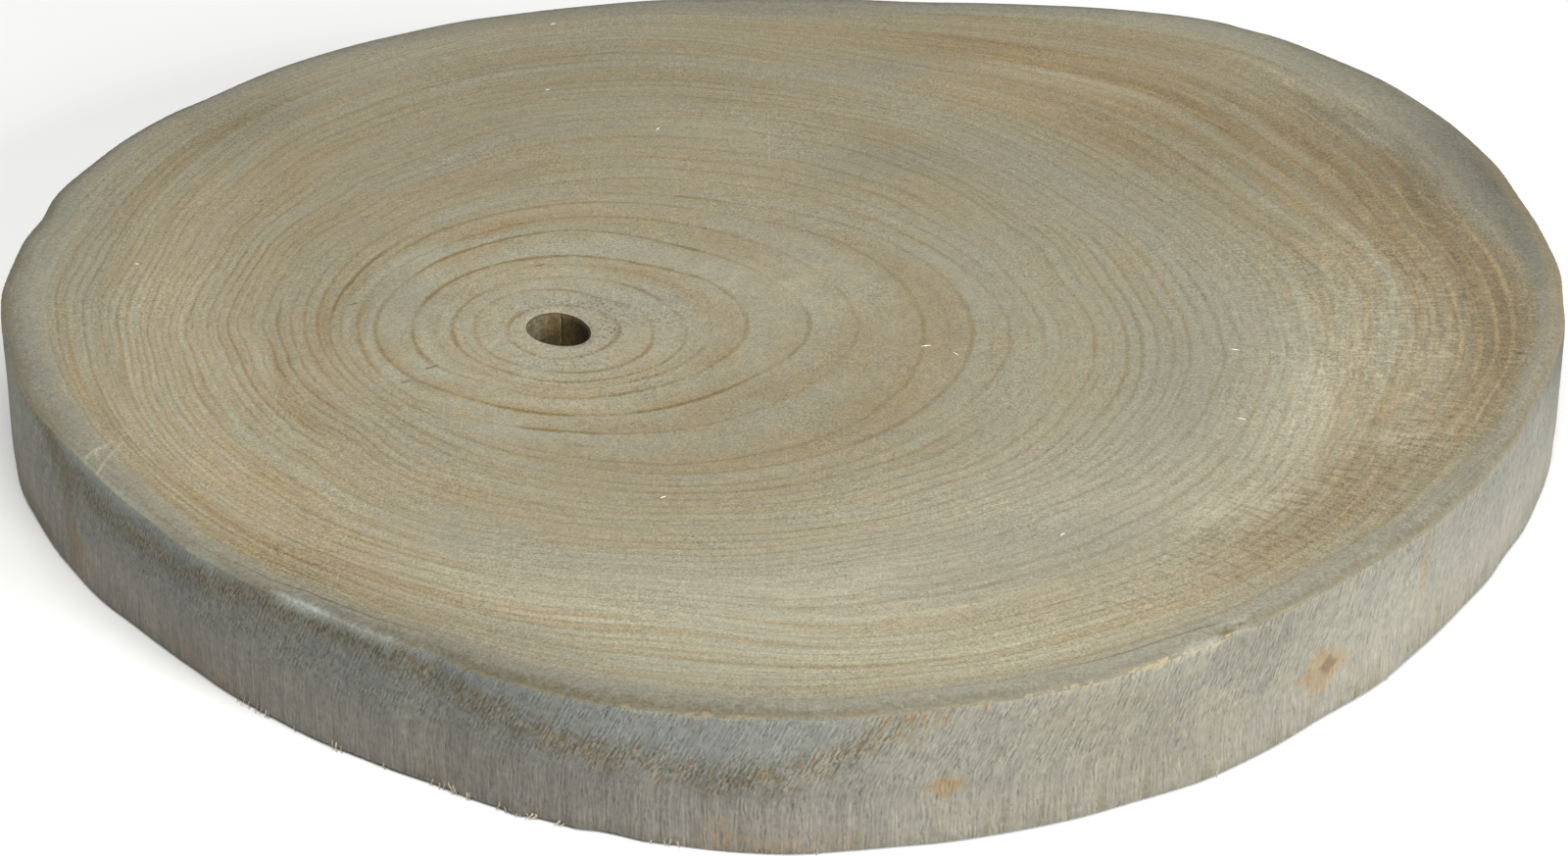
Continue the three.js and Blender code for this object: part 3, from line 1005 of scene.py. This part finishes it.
class Wire:
    """A node's output that can stand in a sum."""

    def __init__(self, recipe, socket):
        self.recipe = recipe
        self.socket = socket

    def __add__(self, other):
        return self.recipe.maths("ADD", self, other)

    __radd__ = __add__

    def __sub__(self, other):
        return self.recipe.maths("SUBTRACT", self, other)

    def __rsub__(self, other):
        return self.recipe.maths("SUBTRACT", other, self)

    def __mul__(self, other):
        return self.recipe.maths("MULTIPLY", self, other)

    __rmul__ = __mul__

    def __truediv__(self, other):
        return self.recipe.maths("DIVIDE", self, other)

    def __abs__(self):
        return self.recipe.maths("ABSOLUTE", self)


class Recipe:
    """One finish, built step by step. Each method adds a node and gives back its output."""

    def __init__(self, name, roughness):
        self.material = bpy.data.materials.new(name)
        self.material.use_nodes = True
        self.tree = self.material.node_tree
        self.shader = self.tree.nodes["Principled BSDF"]
        self.shader.inputs["Roughness"].default_value = roughness
        self.shader.inputs["Specular IOR Level"].default_value = 0.25

    def feed(self, socket, value):
        """Puts a number, a colour or another node's output into a socket."""
        if isinstance(value, Wire):
            self.tree.links.new(value.socket, socket)
        else:
            socket.default_value = value

    def step(self, kind, values, output=0, **settings):
        """A node of a kind, with its settings, its inputs by name or number, and one of its outputs."""
        node = self.tree.nodes.new(kind)
        for name, setting in settings.items():
            setattr(node, name, setting)
        for name, value in values.items():
            self.feed(node.inputs[name], value)
        return Wire(self, node.outputs[output])

    def maths(self, operation, first, second=0.0, clamp=False):
        """One sum."""
        return self.step("ShaderNodeMath", {0: first, 1: second}, operation=operation, use_clamp=clamp)

    def vector(self, operation, first, second=(0, 0, 0), output=0):
        """One sum of vectors."""
        return self.step("ShaderNodeVectorMath", {0: first, 1: second}, output, operation=operation)

    def scaled(self, vector, factor):
        """A vector made longer by a number."""
        return self.step("ShaderNodeVectorMath", {0: vector, "Scale": factor}, operation="SCALE")

    def mark(self, name, output="Fac"):
        """A number that is stored on the mesh, or three of them with the output Vector."""
        return self.step("ShaderNodeAttribute", {}, output, attribute_name=name)

    def place(self):
        """The place on the slice in millimetres."""
        coordinates = self.step("ShaderNodeTexCoord", {}, "Object")
        return self.scaled(coordinates, 1 / MM)

    def grain(self, at, size, detail=1.0, roughness=0.5, bend=0.0):
        """Noise between 0 and 1 with lumps of a size in millimetres."""
        values = {"Vector": at, "Scale": 1 / size, "Detail": detail, "Roughness": roughness}
        return self.step("ShaderNodeTexNoise", values | {"Distortion": bend}, "Fac")

    def swing(self, *at, **kinds):
        """The same noise, but swinging about zero, roughly from -1 to 1."""
        return (self.grain(*at, **kinds) - 0.5) * SWING

    def rise(self, value, start, end):
        """0 up to start and 1 from end on, with a soft step between them."""
        values = {"Value": value, "From Min": start, "From Max": end}
        return self.step("ShaderNodeMapRange", values, interpolation_type="SMOOTHSTEP")

    def combine(self, x, y, z):
        """A vector from three numbers."""
        return self.step("ShaderNodeCombineXYZ", {0: x, 1: y, 2: z})

    def part(self, vector, which):
        """One of a vector's three numbers."""
        return self.step("ShaderNodeSeparateXYZ", {0: vector}, which)

    def blend(self, share, start, end, how="MIX"):
        """One colour laid over another by a share."""
        node = self.tree.nodes.new("ShaderNodeMix")
        node.data_type = "RGBA"
        node.blend_type = how
        self.feed(node.inputs[0], share)
        self.feed(node.inputs[6], start)
        self.feed(node.inputs[7], end)
        return Wire(self, node.outputs[2])

    def lighten(self, colour, share):
        """A colour made brighter or darker by a share of itself."""
        return self.scaled(colour, share + 1.0)

    def relief(self, height, strength):
        """Fine relief, from a height in millimetres."""
        values = {"Height": height * MM, "Strength": strength, "Distance": 1.0}
        bump = self.step("ShaderNodeBump", values)
        self.tree.links.new(bump.socket, self.shader.inputs["Normal"])

    def finish(self, colour):
        """Gives the shader its colour, and the finished material back."""
        self.feed(self.shader.inputs["Base Color"], colour)
        return self.material


def tint(red, green, blue):
    """A colour as seen on a screen, 0 to 255, turned into the light that a surface gives back."""
    light = []
    for part in (red, green, blue):
        share = part / 255
        light.append(share / 12.92 if share <= 0.04045 else ((share + 0.055) / 1.055) ** 2.4)
    return (*light, 1.0)


print("a mid grey of 128 gives back", round(tint(128, 128, 128)[0], 3), "of the light")

# %% [markdown]
# ## The sawn face
#
# End grain shows the ends of the fibres, so it looks like fine felt. Over it lie the rings: a soft tan
# or pale ground for each year, and a thin brown line where the year ended. The line has the same width
# in a wide year and in a narrow one, so it is drawn by its distance in millimetres, which is the
# distance in years times the width of a year. Rays cross the rings on the right, and a blue-grey bloom
# lies along the rim.

# %% Lines and tones of the years
PALE_GREY = tint(141, 137, 118)
TAN = tint(138, 124, 95)
BROWN = tint(112, 97, 69)
PALE = tint(158, 152, 132)
BLUE_GREY = tint(124, 123, 111)
EDGE_OLIVE = tint(106, 101, 85)
LIP_TAN = tint(150, 138, 110)
CRUST_OLIVE = tint(96, 87, 60)
LINE_BROWN = (0.70, 0.61, 0.46, 1)
LINE_PALE = (1.36, 1.35, 1.32, 1)
SPECK_BLUE = tint(84, 89, 90)
PECK_BROWN = tint(92, 78, 56)
BARE_WOOD = tint(160, 165, 156)


def ring_recipe(r):
    """The line at the end of each year and the years' own tones, from the age of the wood."""
    place = r.place()
    out = r.vector("MULTIPLY", r.vector("SUBTRACT", place, (*PITH, 0)), (1, 1, 0))
    heading = r.vector("NORMALIZE", out)
    radius = r.vector("LENGTH", out, output="Value")
    ring_mm = r.mark("ring_mm")

    def round_ring(turns, step, **kinds):
        """Noise that is stretched along the rings: so many lumps per radian, and a step across."""
        at = r.vector("ADD", r.scaled(heading, turns), r.combine(0, 0, step))
        return r.swing(at, 1.0, **kinds)

    read = r.mark("age")
    sway = round_ring(2.2, read * 0.07, detail=1) * 0.6 + round_ring(4.6, read * 0.12) * 0.22
    sway = sway * r.rise(read, 8, 13) * (1 - r.mark("pale_rings"))
    age = read + sway + r.swing(place, 3.2, detail=1) * 0.16 / ring_mm
    nearest = r.maths("ROUND", age)
    halfway = r.maths("FLOOR", age) + 0.5
    since = age - r.maths("FLOOR", age)
    sector = round_ring(1.5, nearest * 0.73, detail=2)
    dashes = round_ring(20, nearest * 5.1, detail=2)
    width = r.maths("MINIMUM", ring_mm * 0.17 + 0.28, 1.1) * (1 + sector * 0.3 + dashes * 0.2)
    line = 1 - r.rise(abs(age - nearest) * ring_mm / width, 0.05, 1.0)
    ink = r.mark("ink") * r.maths("MAXIMUM", 0.8 + sector * 0.9 + dashes * 0.3, 0.0)
    faint = r.rise(round_ring(2.2, halfway * 1.7, detail=2), 0.1, 0.7)
    false_line = (1 - r.rise(abs(age - halfway) * ring_mm, 0.1, 0.8)) * faint * 0.35
    late = r.rise(since, 0.35, 1.0) - r.rise(since, 0.0, 0.12) * 0.3
    return {
        "place": place,
        "heading": heading,
        "radius": radius,
        "line": r.maths("MAXIMUM", line * ink, false_line),
        "late": late * ink,
        "tone": round_ring(1.7, age * 0.42, detail=2),
        "stripes": round_ring(2.4, age * 1.15, detail=1),
        "streaks": round_ring(8, age * 2.3, detail=2),
        "threads": round_ring(18, age * 4.2, detail=1),
    }


print("the darkest ring line keeps", LINE_BROWN[:3], "of the ground's light")

# %% [markdown]
# ## Scratches
#
# Things have been dragged over the face. A scratch is a straight pale stroke: a place is on it when it is
# near its line and between its ends. The same recipe draws a few short dark pecks.

# %% Scratches and pecks
SCRATCHES = [
    (-3, 114, 14, 114, 0.35, 0.5), (-4.2, 98, -4.1, 78, 0.3, 0.4), (-22, 83, -5, 80, 0.3, 0.4),
    (-40, 169, -29, 169, 0.4, 0.4), (41, -33, 65, -29, 0.35, 0.45), (50, 3.4, 65, 3.4, 0.3, 0.4),
    (-164.4, -86.4, -160, -82, 1.3, 0.55), (-160.8, -93.7, -156.4, -80.4, 0.5, 0.6),
    (122, 78, 147, 104, 0.3, 0.15), (167.5, 41, 170.8, 37.3, 0.5, 0.6),
    (173.8, 40.5, 177.6, 36.5, 0.4, 0.4), (169.5, 59.5, 173.5, 49.5, 0.35, 0.25),
    (-162.5, -83.8, -161, -88, 0.5, 0.4), (-159.5, -81.5, -155.5, -75, 0.5, 0.35),
    (1, -14, 1.5, 8, 0.3, 0.3),
]
PECKS = [
    (-88, -43, -85, -41, 0.5, 0.7), (-93, -50, -91, -49, 0.8, 0.6), (9, 173, 10, 173, 0.6, 0.6),
    (-110, -8, -108, -7, 0.5, 0.6), (-64, 14, -62, 15, 0.5, 0.6), (-121, -75, -120, -74, 0.5, 0.5),
]


def strokes(r, place, marks_to_draw):
    """How much of any stroke shows at a place on the face."""
    shown = 0.0
    for start_x, start_y, end_x, end_y, half, share in marks_to_draw:
        length = math.hypot(end_x - start_x, end_y - start_y)
        way = ((end_x - start_x) / length, (end_y - start_y) / length)
        offset = r.vector("SUBTRACT", place, (start_x, start_y, 0))
        along = r.vector("DOT_PRODUCT", offset, (*way, 0), output="Value")
        across = r.vector("DOT_PRODUCT", offset, (-way[1], way[0], 0), output="Value")
        past_end = r.rise(abs(along - length / 2), length / 2 - 0.5, length / 2 + 0.7)
        shown = (1 - past_end) * (1 - r.rise(abs(across), 0.3 * half, 1.3 * half)) * share + shown
    return shown * r.mark("upper")


print(len(SCRATCHES), "scratches and", len(PECKS), "pecks")

# %% [markdown]
# ## The face's recipe
#
# The tones go on in the order in which they came: the years' own tan and pale, the brown of the right side,
# the pale and grey dabs, the ring lines, the rays and saw marks, the felt of cut fibres, and at last the
# grey bloom along the rim with its crumbly tan lip.

# %% The sawn face
def sawn_face_finish():
    """Dry end grain with its rings, rays, saw marks and grey rim."""
    r = Recipe("sawn_face", 0.82)
    ring = ring_recipe(r)
    place, heading, radius = ring["place"], ring["heading"], ring["radius"]
    clouds = r.swing(place, 42, detail=2)
    patches = r.swing(place, 9, detail=3)
    wave = r.mark("wave")
    tone, stripes, streaks, threads = [ring[kind] for kind in ("tone", "stripes", "streaks", "threads")]
    tan = tone * 0.35 + streaks * 0.24 + threads * 0.13 + clouds * 0.15 + patches * 0.1
    tan = tan + (ring["late"] * 0.8 + stripes * 0.65 - 0.1) * wave
    tan = tan + r.swing(place, 2.6, detail=1) * 0.1 + 0.34
    tan = r.maths("ADD", tan, r.mark("tan"), clamp=True)
    colour = r.blend(tan, PALE_GREY, TAN)
    uneven = 1 + tone * 0.3 + stripes * 0.4 + streaks * 0.4 + threads * 0.4
    brown = r.maths("MULTIPLY", r.mark("brown"), uneven, clamp=True)
    colour = r.blend(brown, colour, BROWN)
    for stain, stain_colour in (("pale", PALE), ("grey", BLUE_GREY)):
        colour = r.blend(r.mark(stain) * uneven, colour, stain_colour)
    pale_lines = r.maths("MAXIMUM", r.rise(brown, 0.35, 0.6), r.mark("pale_rings"))
    line = r.maths("MINIMUM", ring["line"], 1.0)
    colour = r.blend(line * (1 - pale_lines * 0.85), colour, LINE_BROWN, "MULTIPLY")
    colour = r.blend(line * (pale_lines * 1.8), colour, LINE_PALE, "MULTIPLY")

    def radial(spacing, run, **kinds):
        """Noise that is stretched along the rays: the spacing on the outer rings, and its run, in mm."""
        at = r.vector("ADD", r.scaled(heading, 190 / spacing), r.combine(0, 0, radius / run))
        return r.grain(at, 1.0, **kinds)

    rays = (r.rise(radial(1.0, 3.5, detail=1), 0.52, 0.62) - 0.3) * r.mark("rays")
    cuts = (r.rise(radial(1.35, 6, detail=1), 0.5, 0.62) - 0.3) * r.mark("hatch") * 1.4
    felt = r.swing(place, 1.1, detail=2, bend=1.0)
    fine = r.swing(place, 0.6)
    lumps = r.swing(place, 2.4, detail=1)
    zones = 0.9 + r.rise(r.grain(place, 30, detail=1), 0.4, 0.65) * 0.5 + brown * 0.5 + r.mark("rays") * 0.4
    share = (felt * 0.14 + fine * 0.2 + lumps * 0.04) * zones + rays * 0.2 - cuts * 0.09
    along = brown * 0.16 + r.mark("rays") * 0.08
    share = share + streaks * (wave * 0.03 + along + 0.03) + threads * (along + 0.06)
    share = share - stripes * wave * 0.09 + tone * 0.035 + clouds * 0.03
    colour = r.blend(cuts * 0.3, colour, BROWN)
    colour = r.lighten(colour, share)
    specks = r.rise(r.grain(place, 1.05, detail=1), 0.575, 0.635) * r.mark("speck")
    colour = r.blend(specks * 0.8, colour, SPECK_BLUE)
    colour = r.blend(strokes(r, place, PECKS), colour, PECK_BROWN)
    rim_mm = r.mark("rim_mm")
    crumb = r.swing(place, 1.1, detail=2)
    rim = r.mark("rim_share") + r.swing(place, 12, detail=3) * 0.2 + crumb * 0.06
    bloom = (1 - r.rise(rim, 0.55, 1.3)) * (0.75 + streaks * 0.3 + threads * 0.25 + lumps * 0.1)
    colour = r.blend(bloom, colour, BLUE_GREY)
    colour = r.blend((1 - r.rise(rim, 0.1, 0.6)) * (0.55 + threads * 0.35), colour, EDGE_OLIVE)
    edge_tan = (1 - r.rise(rim_mm + crumb * 0.8 + threads * 0.5, 3.0, 6.0)) * r.mark("edge_tan")
    colour = r.blend(edge_tan * 0.8, colour, LIP_TAN)
    groove = 1 - r.rise(abs(r.mark("groove") + patches * 0.4), 0.1, 0.38)
    colour = r.blend(groove * r.mark("groove_ink"), colour, LINE_BROWN, "MULTIPLY")
    chips = r.rise(r.grain(place, 2.4, detail=2), 0.42, 0.58)
    crust = (1 - r.rise(rim_mm + crumb * 0.9 + threads * 0.4, 0.8, 3.2)) * r.mark("crust") * 0.8
    colour = r.blend(crust * (0.5 + chips * 0.6), colour, CRUST_OLIVE)
    lip = (1 - r.rise(rim_mm + crumb * 0.6, 0.1, 0.9)) * r.mark("lip") * (0.1 + chips * 1.2)
    colour = r.blend(lip, colour, LIP_TAN)
    colour = r.blend(r.mark("bare") * (0.8 + crumb * 0.3), colour, BARE_WOOD)
    colour = r.blend(strokes(r, place, SCRATCHES) * (felt * 0.5 + 0.9), colour, PALE)
    mottle = bloom * (patches * 0.05 + crumb * 0.1 + streaks * 0.05 + threads * 0.04) + r.mark("shade")
    colour = r.lighten(colour, felt * (bloom * 0.08 + 0.05) + fine * (bloom * 0.12 + 0.04) + mottle)
    r.relief(felt * 0.025 + fine * 0.015 - cuts * 0.02 - line * 0.02 - groove * 0.04, 0.8)
    return r.finish(colour)


print("the face's grey bloom is", [round(part, 3) for part in BLUE_GREY[:3]], "of the light")

# %% [markdown]
# ## The peeled side
#
# Under the bark the wood weathered to a blue-grey, with a warmer beige on the right. Fibres run down it,
# and the ripples that are real relief, and the strokes among them, also get painted shade and light:
# dark in their grooves and lighter on their crests, most of all on the lit right. A brown stain wanders
# along the side like a tide mark, and two knots and a drop of resin sit in it.

# %% The side's colours and spots
SIDE_BLUE = tint(114, 115, 108)
SIDE_SLATE = tint(112, 117, 115)
SIDE_TAUPE = tint(119, 115, 107)
SIDE_BEIGE = tint(131, 128, 114)
SIDE_BROWN = tint(98, 88, 62)
SIDE_RUST = tint(132, 104, 62)
SIDE_DARK = tint(64, 64, 58)
STRAW = tint(158, 146, 116)
TORN_STRAW = tint(184, 173, 146)
KNOT_RUST = tint(130, 111, 80)
KNOT_HEART = tint(86, 66, 52)
RESIN = tint(142, 94, 50)
# A spot has its bearing and depth, half its width and height, its colour, and its strength.
SPOTS = [
    (-50.6, 22.2, 9.6, 6.6, KNOT_RUST, 0.68), (-49.9, 21.4, 2.9, 2.8, KNOT_HEART, 0.55),
    (-80.0, 21.3, 4.4, 3.8, KNOT_RUST, 0.8), (-77.5, 2.6, 0.6, 2.2, RESIN, 0.75),
    (-39.0, 11.0, 2.2, 11.0, KNOT_RUST, 0.4), (-41.9, 28.5, 5.0, 5.0, SIDE_BLUE, 0.5),
    (-58.6, 3.0, 2.2, 3.0, SIDE_BROWN, 0.5), (-157.8, 4.0, 4.0, 9.0, SIDE_BROWN, 0.6),
    (-155.5, 13.0, 5.0, 12.0, SIDE_BROWN, 0.4), (-154.5, 25.0, 5.0, 9.0, SIDE_BROWN, 0.4),
    (-162.0, 32.5, 18.0, 3.0, SIDE_BROWN, 0.45),
]
STREAKED = [
    (-153.5, 28.5, 9.0, 7.0, SIDE_RUST, 0.5), (-138.0, 34.0, 24.0, 6.0, SIDE_RUST, 0.35),
    (-89.5, 34.5, 26.0, 6.0, SIDE_RUST, 0.35), (-94.0, 31.0, 6.0, 7.0, SIDE_RUST, 0.3),
    (-82.0, 4.0, 10.0, 6.0, SIDE_RUST, 0.35), (-70.0, 9.0, 18.0, 9.0, SIDE_RUST, 0.15),
    (-64.0, 22.0, 26.0, 12.0, SIDE_RUST, 0.12), (-36.0, 29.0, 20.0, 8.0, SIDE_RUST, 0.12),
]
middle_ring = feel_trunk(THICKNESS / 2)


def spotted(r, colour, place, spot, edge_noise, broken=1.0):
    """A colour with a spot on it: a soft lozenge on the side, with an uneven edge."""
    bearing, depth, across, down, spot_colour, share = spot
    angle = math.radians(bearing)
    reach = float(read_round(middle_ring, np.array([angle]))[0])
    centre = (reach * math.cos(angle), reach * math.sin(angle), THICKNESS - depth)
    offset = r.vector("SUBTRACT", place, centre)
    stretched = r.vector("MULTIPLY", offset, (1 / across, 1 / across, 1 / down))
    round_it = r.vector("LENGTH", r.vector("MULTIPLY", stretched, (1, 1, 0)), output="Value")
    away = (round_it + abs(r.part(stretched, 2))) * 0.9 + edge_noise
    return r.blend((1 - r.rise(away, 0.5, 1.2)) * share * broken, colour, spot_colour)


print(len(SPOTS), "spots and", len(STREAKED), "streaked patches on the side")


# %% The peeled side
FIBRE_NOISES = ((14, 0.55), (6, 2.2), (2.2, 0.7))


def peeled_side_finish():
    """Weathered wood under the bark: grey fibres, ripples, a brown tide mark and knots."""
    r = Recipe("peeled_side", 0.85)
    place = r.place()
    fibre = r.mark("fibre", "Vector")
    depth = r.mark("depth")

    def along(run, size, **kinds):
        """Noise along the fibres: lumps of a size across, and so many times as long."""
        return r.grain(r.vector("MULTIPLY", fibre, (1, 1, 1 / run)), size, **kinds)

    clouds = r.swing(r.vector("MULTIPLY", place, (1, 1, 0.8)), 22, detail=3)
    felt = r.swing(place, 0.5, detail=2)
    low = r.rise(depth + clouds * 2.5, 16, 24)
    turn = r.maths("ARCTAN2", r.part(fibre, 1), r.part(fibre, 0))

    def corduroy(count, bend, strength):
        """Ripples side by side, so many round the trunk, bent out of line by a noise."""
        return r.maths("SINE", turn * count + bend) * strength

    broken = (along(1.0, 1.8, detail=1) - 0.5) * 15 + (along(2, 6) - 0.5) * 8
    flowing = (along(3.5, 1.9, detail=1) - 0.5) * 13 + (along(3, 9) - 0.5) * 12
    uneven = r.rise(along(1.3, 2.6, detail=1), 0.34, 0.62) * 1.1 + 0.2
    high, deep = (1 - low) * uneven, low * uneven
    ripples = corduroy(940, broken, high * 0.85) + corduroy(1110, flowing * 0.8 - broken * 0.4, high * 0.6)
    ripples = ripples + corduroy(1150, flowing, deep * 0.48)
    ripples = ripples + corduroy(930, flowing * 0.8 + broken * 0.4, deep * 0.4)
    strokes = along(2.6, 1.15, detail=2)
    dots = along(1.8, 0.72, detail=1)
    lines, broad, bits = [(along(run, size, detail=2) - 0.5) * SWING for run, size in FIBRE_NOISES]
    nap = r.swing(r.vector("MULTIPLY", place, (1, 1, 1.6)), 1.9, detail=2)
    bloomed = r.swing(r.vector("MULTIPLY", place, (1, 1, 2.4)), 6, detail=3)
    warmth = clouds * 0.25 + broad * 0.2 + nap * 0.2 + bloomed * 0.25 - low * 0.15
    warm = r.maths("ADD", r.mark("warm"), warmth, clamp=True)
    cool = 1 - r.mark("warm")
    colour = r.blend(warm, r.blend(low * 0.8, SIDE_BLUE, SIDE_TAUPE), SIDE_BEIGE)
    band = r.mark("band_off") + (along(2, 3.0, detail=3) - 0.5) * 7
    above_band = 1 - r.rise(band, -2, 1)
    colour = r.blend(above_band * cool * 0.6, colour, SIDE_SLATE)
    tide = 1 - r.rise(abs(band - 0.8) + (1 - r.mark("rust")) * 1.6, 1.6, 7.0)
    stroke = r.rise(strokes + ripples * 0.07, 0.44, 0.6)
    dotted = r.rise(dots - ripples * 0.04 + (strokes - 0.5) * 0.4, 0.46, 0.6)
    rust = r.rise(broad * 0.5 + bits * 0.6, -0.2, 0.6) * r.maths("POWER", r.mark("rust"), 2.5)
    tide_share = tide * (dotted * 0.75 + (1 - r.mark("rust")) * 0.26)
    colour = r.blend(tide_share, colour, r.blend(rust, SIDE_BROWN, SIDE_RUST))
    colour = r.lighten(colour, tide * -0.05 + above_band * cool * -0.04)
    drip = r.rise(depth, 25, 35) * r.rise(along(10, 2.0), 0.52, 0.66)
    colour = r.blend(drip * 0.35, colour, SIDE_BROWN)
    edge_noise = r.swing(place, 3.0, detail=3) * 0.28 + r.swing(place, 1.4, detail=1) * 0.13
    for spot in SPOTS:
        colour = spotted(r, colour, place, spot, edge_noise)
    for spot in STREAKED:
        colour = spotted(r, colour, place, spot, edge_noise, stroke)
    soft = cool * low
    # Painted shade and light: the ripples, the strokes and the ripple mark darken grooves and lighten crests
    # in the colour, as a raking lamp from the right would; the shade mark adds the side's zones of painted
    # light and shade, mixed with the wood's own tone.
    share = ripples * 0.14 + bits * 0.15 + bloomed * 0.035 + lines * (0.05 + low * 0.05) + r.mark("shade")
    share = share + broad * (0.05 + soft * 0.12)
    share = share + nap * (cool * 0.2 + 0.02 - soft * 0.12) + (strokes - 0.5) * (1 - cool * 0.7) * 0.55
    colour = r.lighten(colour, share + r.mark("ripple") * 0.05 + felt * 0.07 + clouds * 0.04)
    ticks = r.rise(along(4, 0.6, detail=1), 0.66, 0.74)
    colour = r.blend(ticks * 0.5, colour, SIDE_DARK)
    lip = (1 - r.rise(depth + (along(1, 1.4, detail=2) - 0.5) * 7, 1.6, 3.2)) * r.mark("lip")
    colour = r.blend(lip * 0.7, colour, STRAW)
    colour = r.blend(r.mark("straw"), colour, TORN_STRAW)
    colour = r.blend(r.mark("bare") * (0.8 + bits * 0.3), colour, BARE_WOOD)
    r.relief(ripples * 0.045 + bits * 0.02 + lines * (0.008 + low * 0.02) + felt * 0.012, 1.0)
    return r.finish(colour)


print("the tide mark on the side is read at", len(BROWN_BAND), "bearings")

# %% [markdown]
# ## The hollow pith and the dust
#
# The channel is brown and stringy inside, mouldy grey on its left, and darker the deeper one looks.
# Painted shade darkens its right side, which faces away from the lamp, and a thin ring at each end.
# The dust flecks are almost white. Both are small, so their recipes are short.

# %% Recipes of the pith and the dust
PITH_BROWN = tint(116, 96, 62)
PITH_DARK = tint(46, 44, 31)
PITH_STRAW = tint(150, 132, 92)
PITH_MOULD = tint(104, 106, 88)
DUST = tint(238, 237, 230)


def pith_finish():
    """The channel: brown strings with a dark seam, grey mould on the left, and painted shade on the right and
    at the ends.
    """
    r = Recipe("pith_channel", 0.9)
    place = r.place()
    strings = r.swing(r.vector("MULTIPLY", place, (1, 1, 0.12)), 0.9, detail=3)
    mottle = r.grain(place, 1.0, detail=3)
    colour = r.blend(r.rise(strings, -1.6, 0.9) * 0.6 + 0.3, PITH_DARK, PITH_BROWN)
    across = r.part(place, 0) - PITH[0]
    # Painted shade: the right of the channel, which faces away from the lamp, is darkened in its colour.
    colour = r.blend(r.rise(across, -0.5, 6.5) * 0.85, colour, PITH_DARK)
    leftward = 1 - r.rise(across, -6.5, -1.5)
    colour = r.blend(leftward * r.rise(mottle, 0.38, 0.58) * 0.85, colour, PITH_MOULD)
    seam_line = 1 - r.rise(abs(across + mottle * 0.8 - 0.4), 0.05, 0.3)
    colour = r.blend(seam_line * 0.5, colour, PITH_DARK)
    seam_lip = 1 - r.rise(abs(across + mottle * 0.8 + 0.15), 0.05, 0.3)
    colour = r.blend(seam_lip * 0.5, colour, PITH_STRAW)
    colour = r.lighten(colour, r.swing(place, 1.1, detail=2) * 0.5)
    # Painted shade: a thin dark ring where the channel meets the face, and another at its foot.
    mouth = 1 - r.rise(r.mark("depth"), 0.1, 0.9)
    colour = r.blend(mouth * 0.6, colour, PITH_DARK)
    r.relief(strings * 0.08 + mottle * 0.1, 0.8)
    return r.finish(colour)


def dust_finish():
    """A fleck of pale dust, a little uneven."""
    r = Recipe("dust_fleck", 0.9)
    return r.finish(r.lighten(DUST[:3], r.swing(r.place(), 0.6) * 0.05))


finishes = {
    "sawn_face": sawn_face_finish(),
    "peeled_side": peeled_side_finish(),
    "pith_channel": pith_finish(),
    "dust_fleck": dust_finish(),
}
print("finishes:", ", ".join(finishes))

# %% [markdown]
# ## Putting the slice on the table
#
# Points, faces and marks become one mesh, in metres. It rides on the part's only body and stands for the
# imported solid, and the two boxes are kept side by side, so that any drift in size shows at once.

# %% The slice itself
def make_slice():
    """One closed mesh with its marks and its four finishes."""
    mesh = bpy.data.meshes.new("wood_slice")
    mesh.from_pydata((points * MM).tolist(), [], faces)
    for name in MARKS:
        layer = mesh.attributes.new(name, "FLOAT", "POINT")
        layer.data.foreach_set("value", marks[name].astype(np.float32))
    layer = mesh.attributes.new("fibre", "FLOAT_VECTOR", "POINT")
    layer.data.foreach_set("vector", marks["fibre"].astype(np.float32).ravel())
    for name in FINISHES:
        mesh.materials.append(finishes[name])
    mesh.polygons.foreach_set("material_index", face_finishes)
    mesh.polygons.foreach_set("use_smooth", [True] * len(faces))
    mesh.update()
    made = bpy.data.objects.new("wood_slice", mesh)
    bpy.context.scene.collection.objects.link(made)
    return made


wood_slice = make_slice()
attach(wood_slice, "root")
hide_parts(NODE)
triangles = sum(len(face) - 2 for face in faces)
print("the slice has", triangles, "triangles")

# %% The two boxes
shown_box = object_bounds()
boxes = {"cad_box": [list(corner) for corner in cad_box], "visual_box": [list(corner) for corner in shown_box]}
for name, box in boxes.items():
    print(name, [[round(value / MM, 2) for value in corner] for corner in box])
